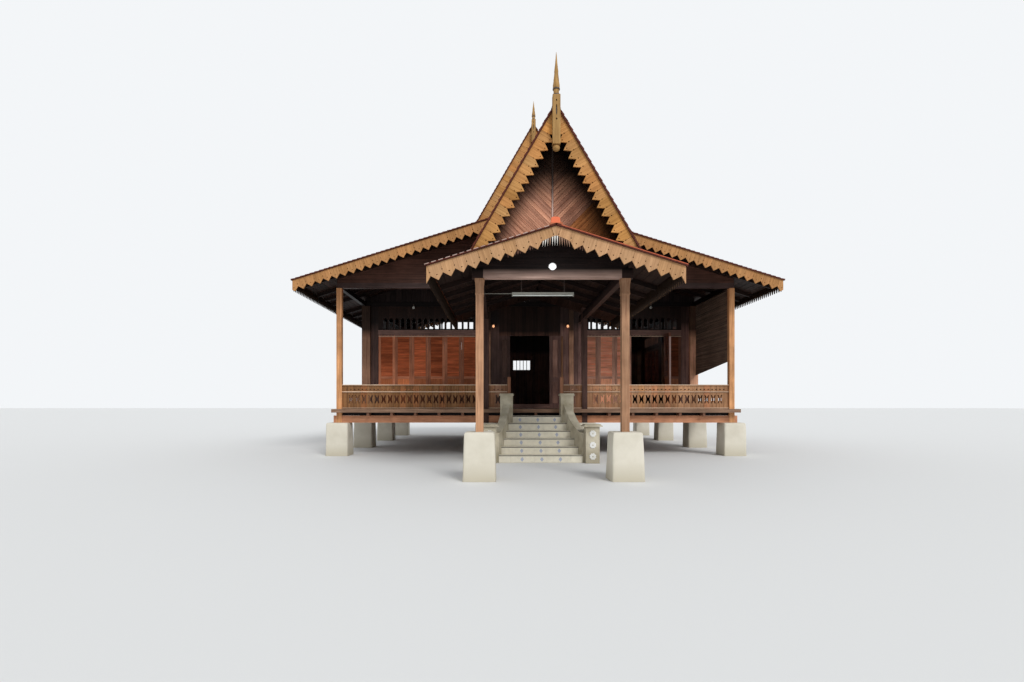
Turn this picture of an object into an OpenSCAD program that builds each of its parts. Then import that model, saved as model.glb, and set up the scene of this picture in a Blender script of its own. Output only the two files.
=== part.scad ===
/* [Post grid] */
// Distance between the two outer rows of posts
house_w = 11400; // [10800:100:12600]
// Distance between the two middle rows of posts
aisle_w = 2860; // [2700:20:3100]
// Depth of the open veranda, from its posts to the front wall
veranda_d = 3000; // [2600:50:3600]
// Depth of one bay of the room behind the front wall
room_bay_d = 3600; // [3400:50:4200]
// Number of room bays from the front wall to the back wall
room_bays = 2; // [2:1:3]
// Distance of the porch posts in front of the veranda posts
porch_d = 5200; // [4600:50:6000]
// Width of a square post
post_w = 150; // [140:5:190]
// Width of a corner post of the walls
corner_post_w = 280; // [220:10:320]

/* [Piers and floor] */
// Width of a masonry pier at its foot
pier_w = 660; // [560:10:700]
// Height of a masonry pier
pier_h = 945; // [800:5:1200]
// Batter of a pier on each side, from its foot to its top
pier_batter = 18; // [5:1:40]
// Width of a floor bearer
bearer_w = 120; // [90:5:135]
// Height of a floor bearer
bearer_h = 205; // [150:5:240]
// Width of a floor joist
joist_w = 70; // [50:5:90]
// Height of a floor joist
joist_h = 150; // [120:5:180]
// Number of joists between a middle row and an outer row
side_joists = 5; // [4:1:7]
// Number of joists between the two middle rows
aisle_joists = 3; // [1:2:5]
// Thickness of the floor boards
deck_t = 40; // [30:1:50]
// Height of the trim board along the edge of the floor
deck_trim_h = 100; // [70:5:130]
// Thickness of that trim board
deck_trim_t = 30; // [20:1:40]
// Reach of the floor past the centre of the outer posts
deck_side = 160; // [145:5:220]
// Reach of the floor in front of the centre of the veranda posts
deck_front = 300; // [240:10:330]

/* [Stair] */
// Number of rises from the ground to the veranda
rises = 7; // [6:1:8]
// Depth of the whole flight
stair_run = 1810; // [1600:10:2100]
// Clear half width of the flight at its top
stair_top_half = 670; // [560:10:700]
// Clear half width of the flight at its foot
stair_foot_half = 1060; // [900:10:1200]
// Thickness of the curved wall beside the flight
flank_t = 200; // [150:10:240]
// Height of that wall where it leaves the top newel
flank_top_z = 1640; // [1500:10:1700]
// Height of that wall where it meets the foot newel
flank_foot_z = 760; // [600:10:840]
// Sag of the wall's top edge below a straight line
flank_sag = 150; // [60:10:200]
// Width of the newel block at the top of the stair
top_newel_w = 355; // [300:5:380]
// Height of that newel above the ground
top_newel_h = 1780; // [1700:10:1900]
// Width of the newel block at the foot of the stair
foot_newel_w = 345; // [300:5:380]
// Height of that newel above the ground
foot_newel_h = 980; // [900:10:1100]
// Height of a newel's cap slab
cap_h = 60; // [40:5:80]
// Reach of the top newel's cap on each side
top_cap_reach = 28; // [15:1:30]
// Reach of the foot newel's cap on each side
foot_cap_reach = 65; // [40:5:80]
// Diameter of a round boss on the foot newel
boss_d = 140; // [100:5:180]
// Number of round bosses on the foot newel
bosses = 3; // [1:1:4]

/* [Walls] */
// Height from the floor to the underside of the wall plates
storey_h = 3510; // [3400:10:3900]
// Thickness of a boarded wall
wall_t = 50; // [30:5:70]
// Width of a wall plate
plate_w = 120; // [90:5:135]
// Height of a wall plate
plate_h = 150; // [120:5:200]
// Clear width of the doorway
door_w = 1360; // [1200:10:1500]
// Clear height of the doorway
door_h = 2500; // [2300:10:2600]
// Width of the jamb boards beside the doorway
jamb_w = 380; // [300:10:420]
// Thickness of the jamb boards
jamb_t = 90; // [70:5:110]
// Height of the sill below the shutters
sill_h = 110; // [80:5:140]
// Height of the threshold in the doorway
threshold_h = 140; // [110:5:170]
// Depth of the sill and of the head rail
sill_d = 100; // [80:5:120]
// Distance from the middle posts to the first front shutter
band_start = 360; // [240:10:420]
// Width of one shutter leaf with its share of the gaps
leaf_pitch = 573; // [540:1:580]
// Gap between two shutter leaves
leaf_gap = 5; // [3:1:10]
// Thickness of a shutter leaf
leaf_t = 36; // [28:1:42]
// Width of a leaf's stiles and rails
stile_w = 85; // [60:5:100]
// Number of leaves in a side window
side_leaves = 4; // [2:2:4]
// Height of a shutter leaf
leaf_h = 2430; // [2300:10:2450]
// Height of the solid lower field of a leaf
panel_h = 900; // [600:10:1100]
// Distance between the slats of a leaf's louvred upper field
louvre_pitch = 56; // [45:1:80]
// Height of the head rail over the shutters
head_h = 150; // [120:5:180]
// Height of the vented board over the head rail
vent_h = 470; // [400:10:520]
// Width of one vent slot
vent_w = 130; // [90:5:140]
// Distance between vent slots
vent_pitch = 198; // [180:2:240]
// Width of the barred opening in the back wall
back_vent_w = 800; // [600:10:1000]
// Height of the barred opening in the back wall
back_vent_h = 440; // [300:10:600]
// Height of that opening above the floor
back_vent_sill = 1760; // [1400:20:2200]

/* [Railings] */
// Height of the railing above the floor
rail_h = 710; // [650:10:800]
// Thickness of the fretwork boards
fret_t = 26; // [18:1:30]
// Depth of the rails
rail_d = 64; // [50:2:80]
// Height of the top rail
rail_t = 42; // [30:2:60]
// Height of the pierced frieze under the top rail
frieze_h = 150; // [130:5:180]
// Distance between the frieze's small diamonds
diamond_pitch = 113; // [100:1:140]
// Width of one fretwork board
fret_w = 190; // [160:5:220]
// Height of an X-shaped cut-out where two boards meet
cross_h = 250; // [200:10:280]
// Width of that cut-out at its ends
cross_w = 142; // [110:2:146]
// Width of each of its four legs
leg_w = 32; // [24:1:40]
// Width of the small end posts of the railing
end_post_w = 100; // [80:5:110]
// Height of the small end posts above the floor
end_post_h = 930; // [860:10:1000]

/* [Low roofs] */
// Pitch of the low roofs
low_pitch = 17.25; // [15:0.25:20]
// Reach of the main low roof past the outer posts
main_eave = 1030; // [900:10:1200]
// Reach of the main low roof in front of the veranda posts and behind the back wall
main_verge = 1040; // [900:10:1200]
// Height of the porch beam's underside above the ground
porch_beam_z = 3950; // [3850:10:4000]
// Height of the porch beam
porch_beam_h = 200; // [160:5:210]
// Reach of the porch roof past its posts
porch_eave = 990; // [800:10:1200]
// Reach of the porch's low roof in front of its posts
porch_verge = 750; // [700:10:900]
// Reach of the porch's low roof behind the veranda posts
porch_tail = 800; // [500:10:1200]
// Thickness of the tiles with their battens
tile_t = 40; // [30:1:50]
// Thickness of the boarding under the tiles
board_t = 40; // [30:1:50]
// Height of a rafter
rafter_h = 100; // [80:5:120]
// Width of a rafter
rafter_w = 60; // [40:5:80]
// Number of rafters in each bay of the main roof
bay_rafters = 3; // [2:1:4]
// Number of rafters along the porch
porch_rafters = 5; // [3:1:7]

/* [Steep roofs] */
// Pitch of the steep roofs
steep_pitch = 60; // [57:0.5:62]
// Height of the porch's steep ridge above the ground
porch_ridge_z = 7080; // [6950:10:7120]
// Height of the main steep ridge above the ground
main_ridge_z = 10150; // [9800:10:10400]
// Distance of the main steep verge behind the veranda posts and the back wall
steep_set_back = 900; // [700:10:1100]
// Distance of the steep gable walls behind their verge
gable_set_back = 800; // [600:10:1000]
// Distance of the porch's steep boards behind its low verge boards
steep_step = 60; // [50:5:100]

/* [Saw-tooth boards] */
// Thickness of a bargeboard
barge_t = 30; // [22:1:40]
// Width of the solid part of a low bargeboard
low_barge_w = 196; // [170:2:220]
// Length of a low bargeboard's teeth
low_tooth = 113; // [80:1:130]
// Distance between those teeth along the board
low_tooth_pitch = 238; // [200:1:280]
// Width of the solid part of the porch's steep bargeboards
steep_barge_w = 165; // [140:1:190]
// Width of the solid part of the main steep bargeboards
main_steep_barge_w = 240; // [160:5:260]
// Length of a steep bargeboard's teeth
steep_tooth = 124; // [90:1:130]
// Distance between those teeth along the board
steep_tooth_pitch = 175; // [150:1:220]
// Number of rays in each half of the fan at the porch's low apex
half_rays = 6; // [4:1:8]
// Reach of the fan on each side of the apex
fan_half = 257; // [230:1:300]
// Width of a ray at its root
ray_w = 24; // [16:1:28]
// Reach of the tiles in front of a bargeboard
tile_reach = 40; // [25:1:60]
// Thickness of the pointed eave boards
eave_t = 24; // [18:1:30]
// Height of an eave board above its points
eave_h = 150; // [110:5:180]
// Length of the points of an eave board
point_l = 140; // [100:5:160]
// Distance between the points of an eave board
point_pitch = 120; // [100:5:160]

/* [Finials] */
// Width of a finial's square shaft
shaft_w = 140; // [110:5:150]
// Length of the shaft
shaft_l = 900; // [820:10:950]
// Height of the shaft's top above the ridge
shaft_over = 50; // [40:10:160]
// Height of the porch finial's spire above the shaft
spire_h = 800; // [700:10:900]
// Height of a main finial's spire above the shaft, before its scale
main_spire_h = 660; // [500:10:800]
// Diameter of the lower turned ring
ring_d = 170; // [155:5:190]
// Diameter of the upper turned ring
upper_ring_d = 152; // [135:1:170]
// Thickness of a turned ring
ring_t = 30; // [20:1:40]
// Diameter of the neck between the rings
neck_d = 100; // [80:2:120]
// Height of that neck
neck_h = 78; // [50:2:90]
// Diameter of the spire above the rings
spire_d = 120; // [90:5:130]
// Diameter of the ball under the shaft
ball_d = 132; // [100:2:138]
// Scale of the two main finials against the porch's finial
main_finial_k = 0.87; // [0.75:0.01:1]

/* [Side screen] */
// Height above the floor of the blind's lower edge at the veranda post
blind_front_h = 1410; // [1200:10:1600]
// Height above the floor of its lower edge at the wall
blind_back_h = 1130; // [1000:10:1400]
// Thickness of the blind
blind_t = 16; // [10:1:24]

/* [Hidden] */

timber = [0.42, 0.24, 0.13];
post_brown = [0.66, 0.42, 0.26];
dark_board = [0.24, 0.12, 0.07];
shutter_red = [0.52, 0.22, 0.12];
barge_tan = [0.72, 0.48, 0.27];
clay = [0.55, 0.27, 0.17];
plaster = [0.90, 0.88, 0.82];
stucco = [0.66, 0.63, 0.54];
blind_brown = [0.20, 0.13, 0.09];

// Play where a piece is let in, and the open joint between two halves
fit = 2;

floor_z = pier_h + bearer_h + joist_h + deck_t;
bearer_z = pier_h;
joist_z = pier_h + bearer_h;
deck_z = joist_z + joist_h;
plate_z = floor_z + storey_h;
plate_top = plate_z + plate_h;
sill_top = floor_z + sill_h;
leaf_top = sill_top + leaf_h;
vent_z = leaf_top + head_h;
porch_beam_top = porch_beam_z + porch_beam_h;

outer_x = house_w / 2;
inner_x = aisle_w / 2;
corner_x = outer_x + post_w / 2 - corner_post_w / 2;
corner_in = corner_x - corner_post_w / 2;
deck_x = outer_x + deck_side;
band_x0 = inner_x + band_start;
front_leaves = floor((corner_in - band_x0) / leaf_pitch);
band_x1 = band_x0 + front_leaves * leaf_pitch;
eave_x = outer_x + main_eave;
porch_eave_x = inner_x + porch_eave;

low_t = tan(low_pitch);
steep_t = tan(steep_pitch);
tile_v = tile_t / cos(low_pitch);
boards_v = tile_v + board_t / cos(low_pitch);
rafters_v = boards_v + rafter_h / cos(low_pitch);
tile_s = tile_t / cos(steep_pitch);
boards_s = tile_s + board_t / cos(steep_pitch);

// Heights of the four ridges' top lines at the middle of the house
main_low_z = plate_top + (outer_x + plate_w / 2) * low_t + rafters_v;
porch_low_z = porch_beam_top + (inner_x + plate_w / 2) * low_t + rafters_v;
function low_top(ridge, x) = ridge - low_t * abs(x);
function steep_top(ridge, x) = ridge - steep_t * abs(x);
// Half width at which a steep slope meets the low roof below it
function foot_x(steep, low) = (steep - low) / (steep_t - low_t);

// Y of everything, from the two ends of the roof, so that the origin is under the middle
house_d = veranda_d + room_bays * room_bay_d;
front_end = -porch_d - porch_verge + steep_step - shaft_w / 2 - ring_d / 2;
back_end = house_d + main_verge + tile_reach;
y0 = -(front_end + back_end) / 2;
porch_y = y0 - porch_d;
wall_y = y0 + veranda_d;
back_y = y0 + house_d;
room_rows = [for (i = [0:room_bays]) wall_y + i * room_bay_d];
rows = concat([y0], room_rows);
deck_y = y0 - deck_front;
floor_back_y = back_y + deck_side;
porch_face_y = porch_y - porch_verge;
steep_face_y = porch_face_y + steep_step;
main_face_y = y0 - main_verge;
main_back_y = back_y + main_verge;
main_steep_y0 = y0 + steep_set_back;
main_steep_y1 = back_y - steep_set_back;
porch_back_y = y0 - plate_w / 2;
stair_foot_y = deck_y - stair_run;

inner_posts = [for (s = [-1, 1]) s * inner_x];
outer_posts = [for (s = [-1, 1]) s * outer_x];
pier_xs = concat(outer_posts, inner_posts);

// A solid with the outline in X and Z that runs from one Y to another
module along_y(points, from, to) {
    translate([0, to, 0]) rotate([90, 0, 0]) linear_extrude(to - from) polygon(points);
}

// A solid with the outline in Y and Z that runs from one X to another
module along_x(points, from, to) {
    translate([from, 0, 0]) rotate([90, 0, 90]) linear_extrude(to - from) polygon(points);
}

module box(x, y, z) {
    translate([x[0], y[0], z[0]]) cube([x[1] - x[0], y[1] - y[0], z[1] - z[0]]);
}

module both_sides() {
    children();
    mirror([1, 0, 0]) children();
}

module square_post(x, y, w, z0, z1) {
    box([x - w / 2, x + w / 2], [y - w / 2, y + w / 2], [z0, z1]);
}

// A battered block: the wedge outline in X cut to the same outline in Y
module pier(x, y) {
    foot = pier_w / 2;
    top = foot - pier_batter;
    outline = [[-foot, 0], [foot, 0], [top, pier_h], [-top, pier_h]];
    translate([x, y, 0]) intersection() {
        along_y(outline, -foot, foot);
        along_x(outline, -foot, foot);
    }
}

module porch_piers() {
    color(plaster) for (x = inner_posts) pier(x, porch_y);
}

module house_piers() {
    color(plaster) for (y = rows, x = pier_xs) pier(x, y);
}

// Half width of the flight at a distance from its top
function stair_half(d) = stair_top_half + (stair_foot_half - stair_top_half) * d / stair_run;

rise = floor_z / rises;
tread_d = stair_run / (rises - 1);
step_outline = concat(
    [[deck_y, 0], [stair_foot_y, 0]],
    [for (i = [1:rises - 1], up = [0, 1])
        [stair_foot_y + (i - 1) * tread_d, (i - 1 + up) * rise]],
    [[deck_y, (rises - 1) * rise]]
);

top_newel_x = stair_top_half + top_newel_w / 2;

module stair_flight() {
    color(plaster) difference() {
        intersection() {
            along_x(step_outline, -stair_foot_half, stair_foot_half);
            linear_extrude(floor_z) polygon([
                [-stair_half(0), deck_y], [-stair_half(stair_run), stair_foot_y],
                [stair_half(stair_run), stair_foot_y], [stair_half(0), deck_y]
            ]);
        }
        both_sides() square_post(top_newel_x, deck_y - top_newel_w / 2, top_newel_w, 0, floor_z);
    }
}

// The top edge of the flank wall: a straight fall with a sag that is greatest at its middle
flank_steps = 12;
flank_edge = [for (i = [0:flank_steps])
    let (u = i / flank_steps)
    [stair_foot_y + foot_newel_w / 2 + u * (stair_run - foot_newel_w / 2 - top_newel_w / 2),
     flank_foot_z + u * (flank_top_z - flank_foot_z) - 4 * flank_sag * u * (1 - u)]];

module newel(x, y, w, h, reach) {
    square_post(x, y, w, 0, h - cap_h);
    square_post(x, y, w + 2 * reach, h - cap_h, h - cap_h / 2);
    square_post(x, y, w + reach, h - cap_h / 2, h);
}

module stair_flank() {
    foot_x = stair_foot_half + foot_newel_w / 2 + reach_out;
    foot_y = stair_foot_y;
    newel(top_newel_x, deck_y - top_newel_w / 2, top_newel_w, top_newel_h, top_cap_reach);
    newel(foot_x, foot_y, foot_newel_w, foot_newel_h, foot_cap_reach);
    intersection() {
        along_x(concat([[stair_foot_y, 0], [stair_foot_y, flank_foot_z]], flank_edge,
            [[deck_y - top_newel_w / 2, flank_top_z], [deck_y - top_newel_w / 2, 0]]),
            0, stair_foot_half + foot_newel_w + reach_out);
        linear_extrude(flank_top_z) polygon([
            [stair_half(0), deck_y], [stair_half(stair_run), stair_foot_y],
            [stair_half(stair_run) + flank_t, stair_foot_y], [stair_half(0) + flank_t, deck_y]
        ]);
    }
    for (i = [1:bosses])
        translate([foot_x, foot_y - foot_newel_w / 2,
            (foot_newel_h - 2 * cap_h) * (i - 0.5) / bosses + cap_h / 2])
            rotate([90, 0, 0]) cylinder(h = boss_relief, d = boss_d, $fn = 48);
}
reach_out = 57;
boss_relief = 15;

module stair_flank_left() {
    color(stucco) mirror([1, 0, 0]) stair_flank();
}

module stair_flank_right() {
    color(stucco) stair_flank();
}

module bearer(y) {
    box([-deck_x, deck_x], [y - bearer_w / 2, y + bearer_w / 2], [bearer_z, joist_z]);
}

module floor_bearers() {
    color(timber) for (y = rows) bearer(y);
}

joist_xs = concat(
    [for (i = [1:aisle_joists]) -inner_x + aisle_w * i / (aisle_joists + 1)],
    [for (s = [-1, 1], i = [1:side_joists])
        s * (inner_x + (corner_in - inner_x) * i / (side_joists + 1))]
);

module floor_joists() {
    color(timber) for (x = joist_xs)
        box([x - joist_w / 2, x + joist_w / 2], [deck_y + deck_trim_t, floor_back_y - deck_trim_t],
            [joist_z, deck_z]);
}

module front_row_posts() {
    for (x = pier_xs) square_post(x, y0, post_w, pier_h, plate_z);
}

// The posts in the walls, which are thicker at the four corners
module room_posts() {
    for (y = room_rows) {
        corner = y == wall_y || y == back_y;
        both_sides() {
            square_post(corner ? corner_x : outer_x, y, corner ? corner_post_w : post_w, pier_h, plate_z);
            square_post(inner_x, y, post_w, pier_h, plate_z);
        }
    }
}

// A floor slab with its trim board hanging at the open edges
module floor_slab(from, to) {
    box([-deck_x, deck_x], [from, to], [deck_z, floor_z]);
    both_sides() box([deck_x - deck_trim_t, deck_x], [from, to], [floor_z - deck_trim_h, floor_z]);
}

module veranda_deck() {
    color(timber) difference() {
        union() {
            floor_slab(deck_y, wall_y);
            box([-deck_x, deck_x], [deck_y, deck_y + deck_trim_t], [floor_z - deck_trim_h, floor_z]);
        }
        front_row_posts();
        room_posts();
    }
}

module house_floor() {
    color(timber) difference() {
        union() {
            floor_slab(wall_y, floor_back_y);
            box([-deck_x, deck_x], [floor_back_y - deck_trim_t, floor_back_y],
                [floor_z - deck_trim_h, floor_z]);
        }
        front_row_posts();
        room_posts();
    }
}

module porch_posts() {
    color(post_brown) for (x = inner_posts) square_post(x, porch_y, post_w, pier_h, porch_beam_z);
}

module porch_side_beam() {
    box([inner_x - plate_w / 2, inner_x + plate_w / 2],
        [porch_y + plate_w / 2, y0 + porch_tail - barge_t], [porch_beam_z, porch_beam_top]);
}

module veranda_posts() {
    color(post_brown) difference() {
        front_row_posts();
        bearer(y0);
        both_sides() porch_side_beam();
    }
}

module wall_posts() {
    color(timber) difference() {
        room_posts();
        for (y = room_rows) bearer(y);
    }
}

module porch_beams() {
    front_x = inner_x + post_w;
    color(timber) {
        box([-front_x, front_x], [porch_y - plate_w / 2, porch_y + plate_w / 2 - fit],
            [porch_beam_z, porch_beam_top]);
        both_sides() porch_side_beam();
    }
}

module wall_plates() {
    color(timber) {
        both_sides() box([outer_x - plate_w / 2, outer_x + plate_w / 2],
            [y0 - plate_w / 2, back_y + plate_w / 2], [plate_z, plate_top]);
        for (y = rows) box([-outer_x + plate_w / 2 + fit, outer_x - plate_w / 2 - fit],
            [y - plate_w / 2, y + plate_w / 2], [plate_z, plate_top]);
    }
}

rail_top = rail_h - rail_t;
frieze_z = rail_top - frieze_h;

// An X with two legs above and two below, and a pointed tongue of wood left between each two
module cross_cut() {
    x = cross_w / 2;
    z = cross_h / 2;
    polygon([
        [-x, -z], [leg_w - x, -z], [0, -tongue_tip], [x - leg_w, -z], [x, -z], [x * cross_waist, 0],
        [x, z], [x - leg_w, z], [0, tongue_tip], [leg_w - x, z], [-x, z], [-x * cross_waist, 0]
    ]);
}
tongue_tip = 40;
cross_waist = 0.7;
cross_drop = 66;

module diamond() {
    polygon([[-diamond_w / 2, 0], [0, -diamond_w / 3], [diamond_w / 2, 0], [0, diamond_w / 3]]);
}
diamond_w = 62;

// A railing of a given length along X, its foot on the floor and its middle on Y 0
module railing(length) {
    boards = floor(length / fret_w);
    diamonds = floor(length / diamond_pitch);
    cross_z = frieze_z - rail_t - cross_drop - cross_h / 2;
    translate([0, fret_t / 2, 0]) rotate([90, 0, 0]) linear_extrude(fret_t) difference() {
        square([length, rail_h]);
        for (i = [1:boards - 1])
            translate([length / 2 + (i - boards / 2) * fret_w, cross_z]) cross_cut();
        for (i = [1:diamonds - 1])
            translate([length / 2 + (i - diamonds / 2) * diamond_pitch, frieze_z + frieze_h / 3]) diamond();
    }
    for (z = [rail_top, frieze_z - rail_t, 0])
        translate([0, -rail_d / 2, z]) cube([length, rail_d, rail_t]);
}

rail_x0 = inner_x + post_w / 2;
rail_x1 = outer_x - post_w / 2;

module railing_front_left() {
    color(barge_tan) translate([-rail_x1, y0, floor_z]) railing(rail_x1 - rail_x0);
}

module railing_front_right() {
    color(barge_tan) translate([rail_x0, y0, floor_z]) railing(rail_x1 - rail_x0);
}

module railing_stair() {
    end_x = stair_top_half + end_post_w / 2;
    color(barge_tan) both_sides() {
        square_post(end_x + end_post_w / 2, y0, end_post_w, floor_z, floor_z + end_post_h);
        translate([end_x + end_post_w, y0, floor_z]) railing(inner_x - post_w / 2 - end_x - end_post_w);
    }
}

module railing_sides() {
    from = y0 + post_w / 2;
    color(barge_tan) both_sides()
        translate([outer_x, from, floor_z]) rotate([0, 0, 90])
            railing(wall_y - corner_post_w / 2 - from);
}

// Vent slots with pointed heads, spread over a length that starts at X 0
module vent_slots(length) {
    count = floor((length - vent_pitch / 2) / vent_pitch);
    slot_h = vent_h - 2 * vent_edge;
    for (i = [1:count])
        translate([length / 2 + (i - (count + 1) / 2) * vent_pitch, vent_edge]) polygon([
            [-vent_w / 2, 0], [vent_w / 2, 0], [vent_w / 2, slot_h - vent_w / 2], [0, slot_h],
            [-vent_w / 2, slot_h - vent_w / 2]
        ]);
}
vent_edge = 40;

jamb_x1 = door_w / 2 + jamb_w;

module wall_box(x, z) {
    box(x, [wall_y - wall_t / 2, wall_y + wall_t / 2], z);
}

module front_boards() {
    color(dark_board) both_sides() {
        wall_box([jamb_x1, inner_x - post_w / 2], [floor_z, plate_z]);
        wall_box([inner_x + post_w / 2, band_x0], [floor_z, plate_z]);
        wall_box([band_x1, corner_in], [floor_z, plate_z]);
    }
}

// A board over a window band, with its row of vent slots
module vented_board(length) {
    translate([0, wall_t / 2, 0]) rotate([90, 0, 0]) linear_extrude(wall_t) difference() {
        square([length, plate_z - vent_z]);
        vent_slots(length);
    }
}

module front_clerestory() {
    door_top = floor_z + door_h;
    color(dark_board) {
        both_sides() translate([band_x0, wall_y, vent_z]) vented_board(band_x1 - band_x0);
        wall_box([-jamb_x1, jamb_x1], [door_top + head_h, plate_z]);
        box([-jamb_x1, jamb_x1], [wall_y - jamb_t / 2, wall_y + jamb_t / 2],
            [door_top, door_top + head_h]);
    }
}

module window_sills() {
    color(timber) {
        both_sides() box([band_x0, band_x1], [wall_y - sill_d / 2, wall_y + sill_d / 2],
            [floor_z, sill_top]);
        box([-door_w / 2 + fit / 2, door_w / 2 - fit / 2], [wall_y - sill_d, wall_y + sill_d / 2],
            [floor_z, floor_z + threshold_h]);
    }
}

// Head rail with a scalloped valance hanging in front of it
module window_heads() {
    length = band_x1 - band_x0;
    lobes = round(length / lobe_pitch);
    color(timber) both_sides() {
        box([band_x0, band_x1], [wall_y - sill_d / 2, wall_y + sill_d / 2], [leaf_top, vent_z]);
        translate([band_x0, wall_y - sill_d / 2, leaf_top]) rotate([90, 0, 0])
            linear_extrude(valance_t) polygon(concat(
                [[0, head_h], [0, 0]],
                [for (i = [0:lobes - 1], p = [[lobe_slant, -1], [1 - lobe_slant, -1], [1, 0]])
                    [(i + p[0]) * length / lobes, p[1] * valance_drop]],
                [[length, head_h]]
            ));
    }
}
lobe_pitch = 115;
lobe_slant = 0.2;
valance_t = 18;
valance_drop = 45;

module door_frame() {
    color(timber) both_sides()
        box([door_w / 2, jamb_x1], [wall_y - jamb_t / 2, wall_y + jamb_t / 2],
            [floor_z, floor_z + door_h]);
}

// The space before a leaf's slats: each slat leans out from its top to its lower edge
module louvre_space(w, h) {
    count = round(h / louvre_pitch);
    step = h / count;
    rotate([90, 0, 90]) linear_extrude(w) polygon(concat(
        [[-leaf_t, h], [-leaf_t, 0]],
        [for (i = [0:count - 1], p = [[0, slat_foot], [1, slat_head]])
            [p[1] - leaf_t / 2, (i + p[0]) * step]]
    ));
}
slat_foot = 4;
slat_head = 13;

// One leaf on the XZ plane with its corner at the origin: a frame round a panel and a louvred field
module shutter_leaf() {
    w = leaf_pitch - leaf_gap;
    h = leaf_h - 2 * leaf_gap;
    recess = leaf_t / 3;
    difference() {
        translate([0, -leaf_t / 2, 0]) cube([w, leaf_t, h]);
        for (side = [-1, 1])
            box([stile_w, w - stile_w],
                [side * leaf_t / 2 - recess, side * leaf_t / 2 + recess], [stile_w, panel_h]);
        translate([stile_w, 0, panel_h + stile_w]) {
            louvre_space(w - 2 * stile_w, h - panel_h - 2 * stile_w);
            mirror([0, 1, 0]) louvre_space(w - 2 * stile_w, h - panel_h - 2 * stile_w);
        }
    }
}

// A leaf turns on two short pins, one on the sill and one under the head
module hung_leaf() {
    translate([leaf_gap / 2, 0, leaf_gap]) shutter_leaf();
    for (z = [0, leaf_h - leaf_gap])
        translate([leaf_gap / 2 + stile_w / 3, 0, z]) cylinder(h = leaf_gap, d = pivot_d, $fn = 24);
}
pivot_d = 18;

module shutter_row(count, skip = []) {
    for (i = [0:count - 1])
        if (len(search(i, skip)) == 0) translate([i * leaf_pitch, 0, 0]) hung_leaf();
}

module front_shutters_left() {
    color(shutter_red) translate([-band_x1, wall_y, sill_top]) shutter_row(front_leaves);
}

// The fourth and fifth leaves are folded together and stand out from the wall
module front_shutters_right() {
    fold_x = band_x0 + 5 * leaf_pitch;
    color(shutter_red) {
        translate([band_x0, wall_y, sill_top]) shutter_row(front_leaves, [3, 4]);
        for (i = [0, 1])
            translate([fold_x + (i - 0.5) * (leaf_t + leaf_gap), wall_y - sill_d / 2 - valance_t,
                sill_top + leaf_gap])
                rotate([0, 0, -90]) shutter_leaf();
    }
}

// The clear length of a side wall's bay between its posts
function bay_y0(i) = room_rows[i] + (i == 0 ? corner_post_w : post_w) / 2;
function bay_y1(i) = room_rows[i + 1] - (i == room_bays - 1 ? corner_post_w : post_w) / 2;

// A boarded panel along X from the origin, with a window and its vents in the middle
module windowed_panel(length, leaves) {
    window_w = leaves * leaf_pitch;
    translate([0, wall_t / 2, 0]) rotate([90, 0, 0]) linear_extrude(wall_t) difference() {
        square([length, storey_h]);
        translate([(length - window_w) / 2, sill_h]) square([window_w, leaf_h]);
        translate([(length - window_w) / 2, vent_z - floor_z]) vent_slots(window_w);
    }
}

module side_wall() {
    for (i = [0:room_bays - 1])
        translate([outer_x, bay_y0(i), floor_z]) rotate([0, 0, 90])
            windowed_panel(bay_y1(i) - bay_y0(i), side_leaves);
}

module side_wall_left() {
    color(dark_board) mirror([1, 0, 0]) side_wall();
}

module side_wall_right() {
    color(dark_board) side_wall();
}

module back_wall() {
    vent_z0 = floor_z + back_vent_sill;
    color(dark_board) {
        both_sides() translate([inner_x + post_w / 2, back_y, floor_z])
            windowed_panel(corner_in - inner_x - post_w / 2, side_leaves);
        difference() {
            box([-inner_x + post_w / 2, inner_x - post_w / 2],
                [back_y - wall_t / 2, back_y + wall_t / 2], [floor_z, plate_z]);
            box([-back_vent_w / 2, back_vent_w / 2], [back_y - wall_t, back_y + wall_t],
                [vent_z0, vent_z0 + back_vent_h]);
        }
    }
}

module side_shutters() {
    color(shutter_red) both_sides() for (i = [0:room_bays - 1])
        translate([outer_x, (bay_y0(i) + bay_y1(i) - side_leaves * leaf_pitch) / 2, sill_top])
            rotate([0, 0, 90]) shutter_row(side_leaves);
}

module back_shutters() {
    panel = corner_in - inner_x - post_w / 2;
    color(shutter_red) both_sides()
        translate([inner_x + post_w / 2 + (panel - side_leaves * leaf_pitch) / 2, back_y, sill_top])
            shutter_row(side_leaves);
}

module side_screen() {
    from = y0 + post_w / 2;
    to = wall_y - corner_post_w / 2;
    color(blind_brown) along_x([
        [from, floor_z + blind_front_h], [to, floor_z + blind_back_h], [to, plate_z],
        [from, plate_z]
    ], outer_x - blind_t / 2, outer_x + blind_t / 2);
}

// Height of the underside of a low roof's boarding
function board_under(ridge, x) = low_top(ridge, x) - boards_v;

module low_gable(ridge, base_z, half, y) {
    along_y([
        [-half, base_z], [half, base_z], [half, board_under(ridge, half)],
        [0, board_under(ridge, 0)], [-half, board_under(ridge, half)]
    ], y, y + board_t);
}

module porch_tympanum() {
    color(dark_board)
        low_gable(porch_low_z, porch_beam_top, inner_x + plate_w / 2, porch_y - board_t / 2);
}

// A steep gable wall that stands on the low roof's tiles and closes the space under a steep roof
module steep_gable(steep, low, y) {
    foot = foot_x(steep - boards_s, low);
    along_y([
        [-foot, low_top(low, foot)], [0, low], [foot, low_top(low, foot)],
        [0, steep_top(steep, 0) - boards_s]
    ], y, y + board_t);
}

module porch_gable_wall() {
    color(shutter_red) steep_gable(porch_ridge_z, porch_low_z, porch_y - board_t / 2);
}

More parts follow.
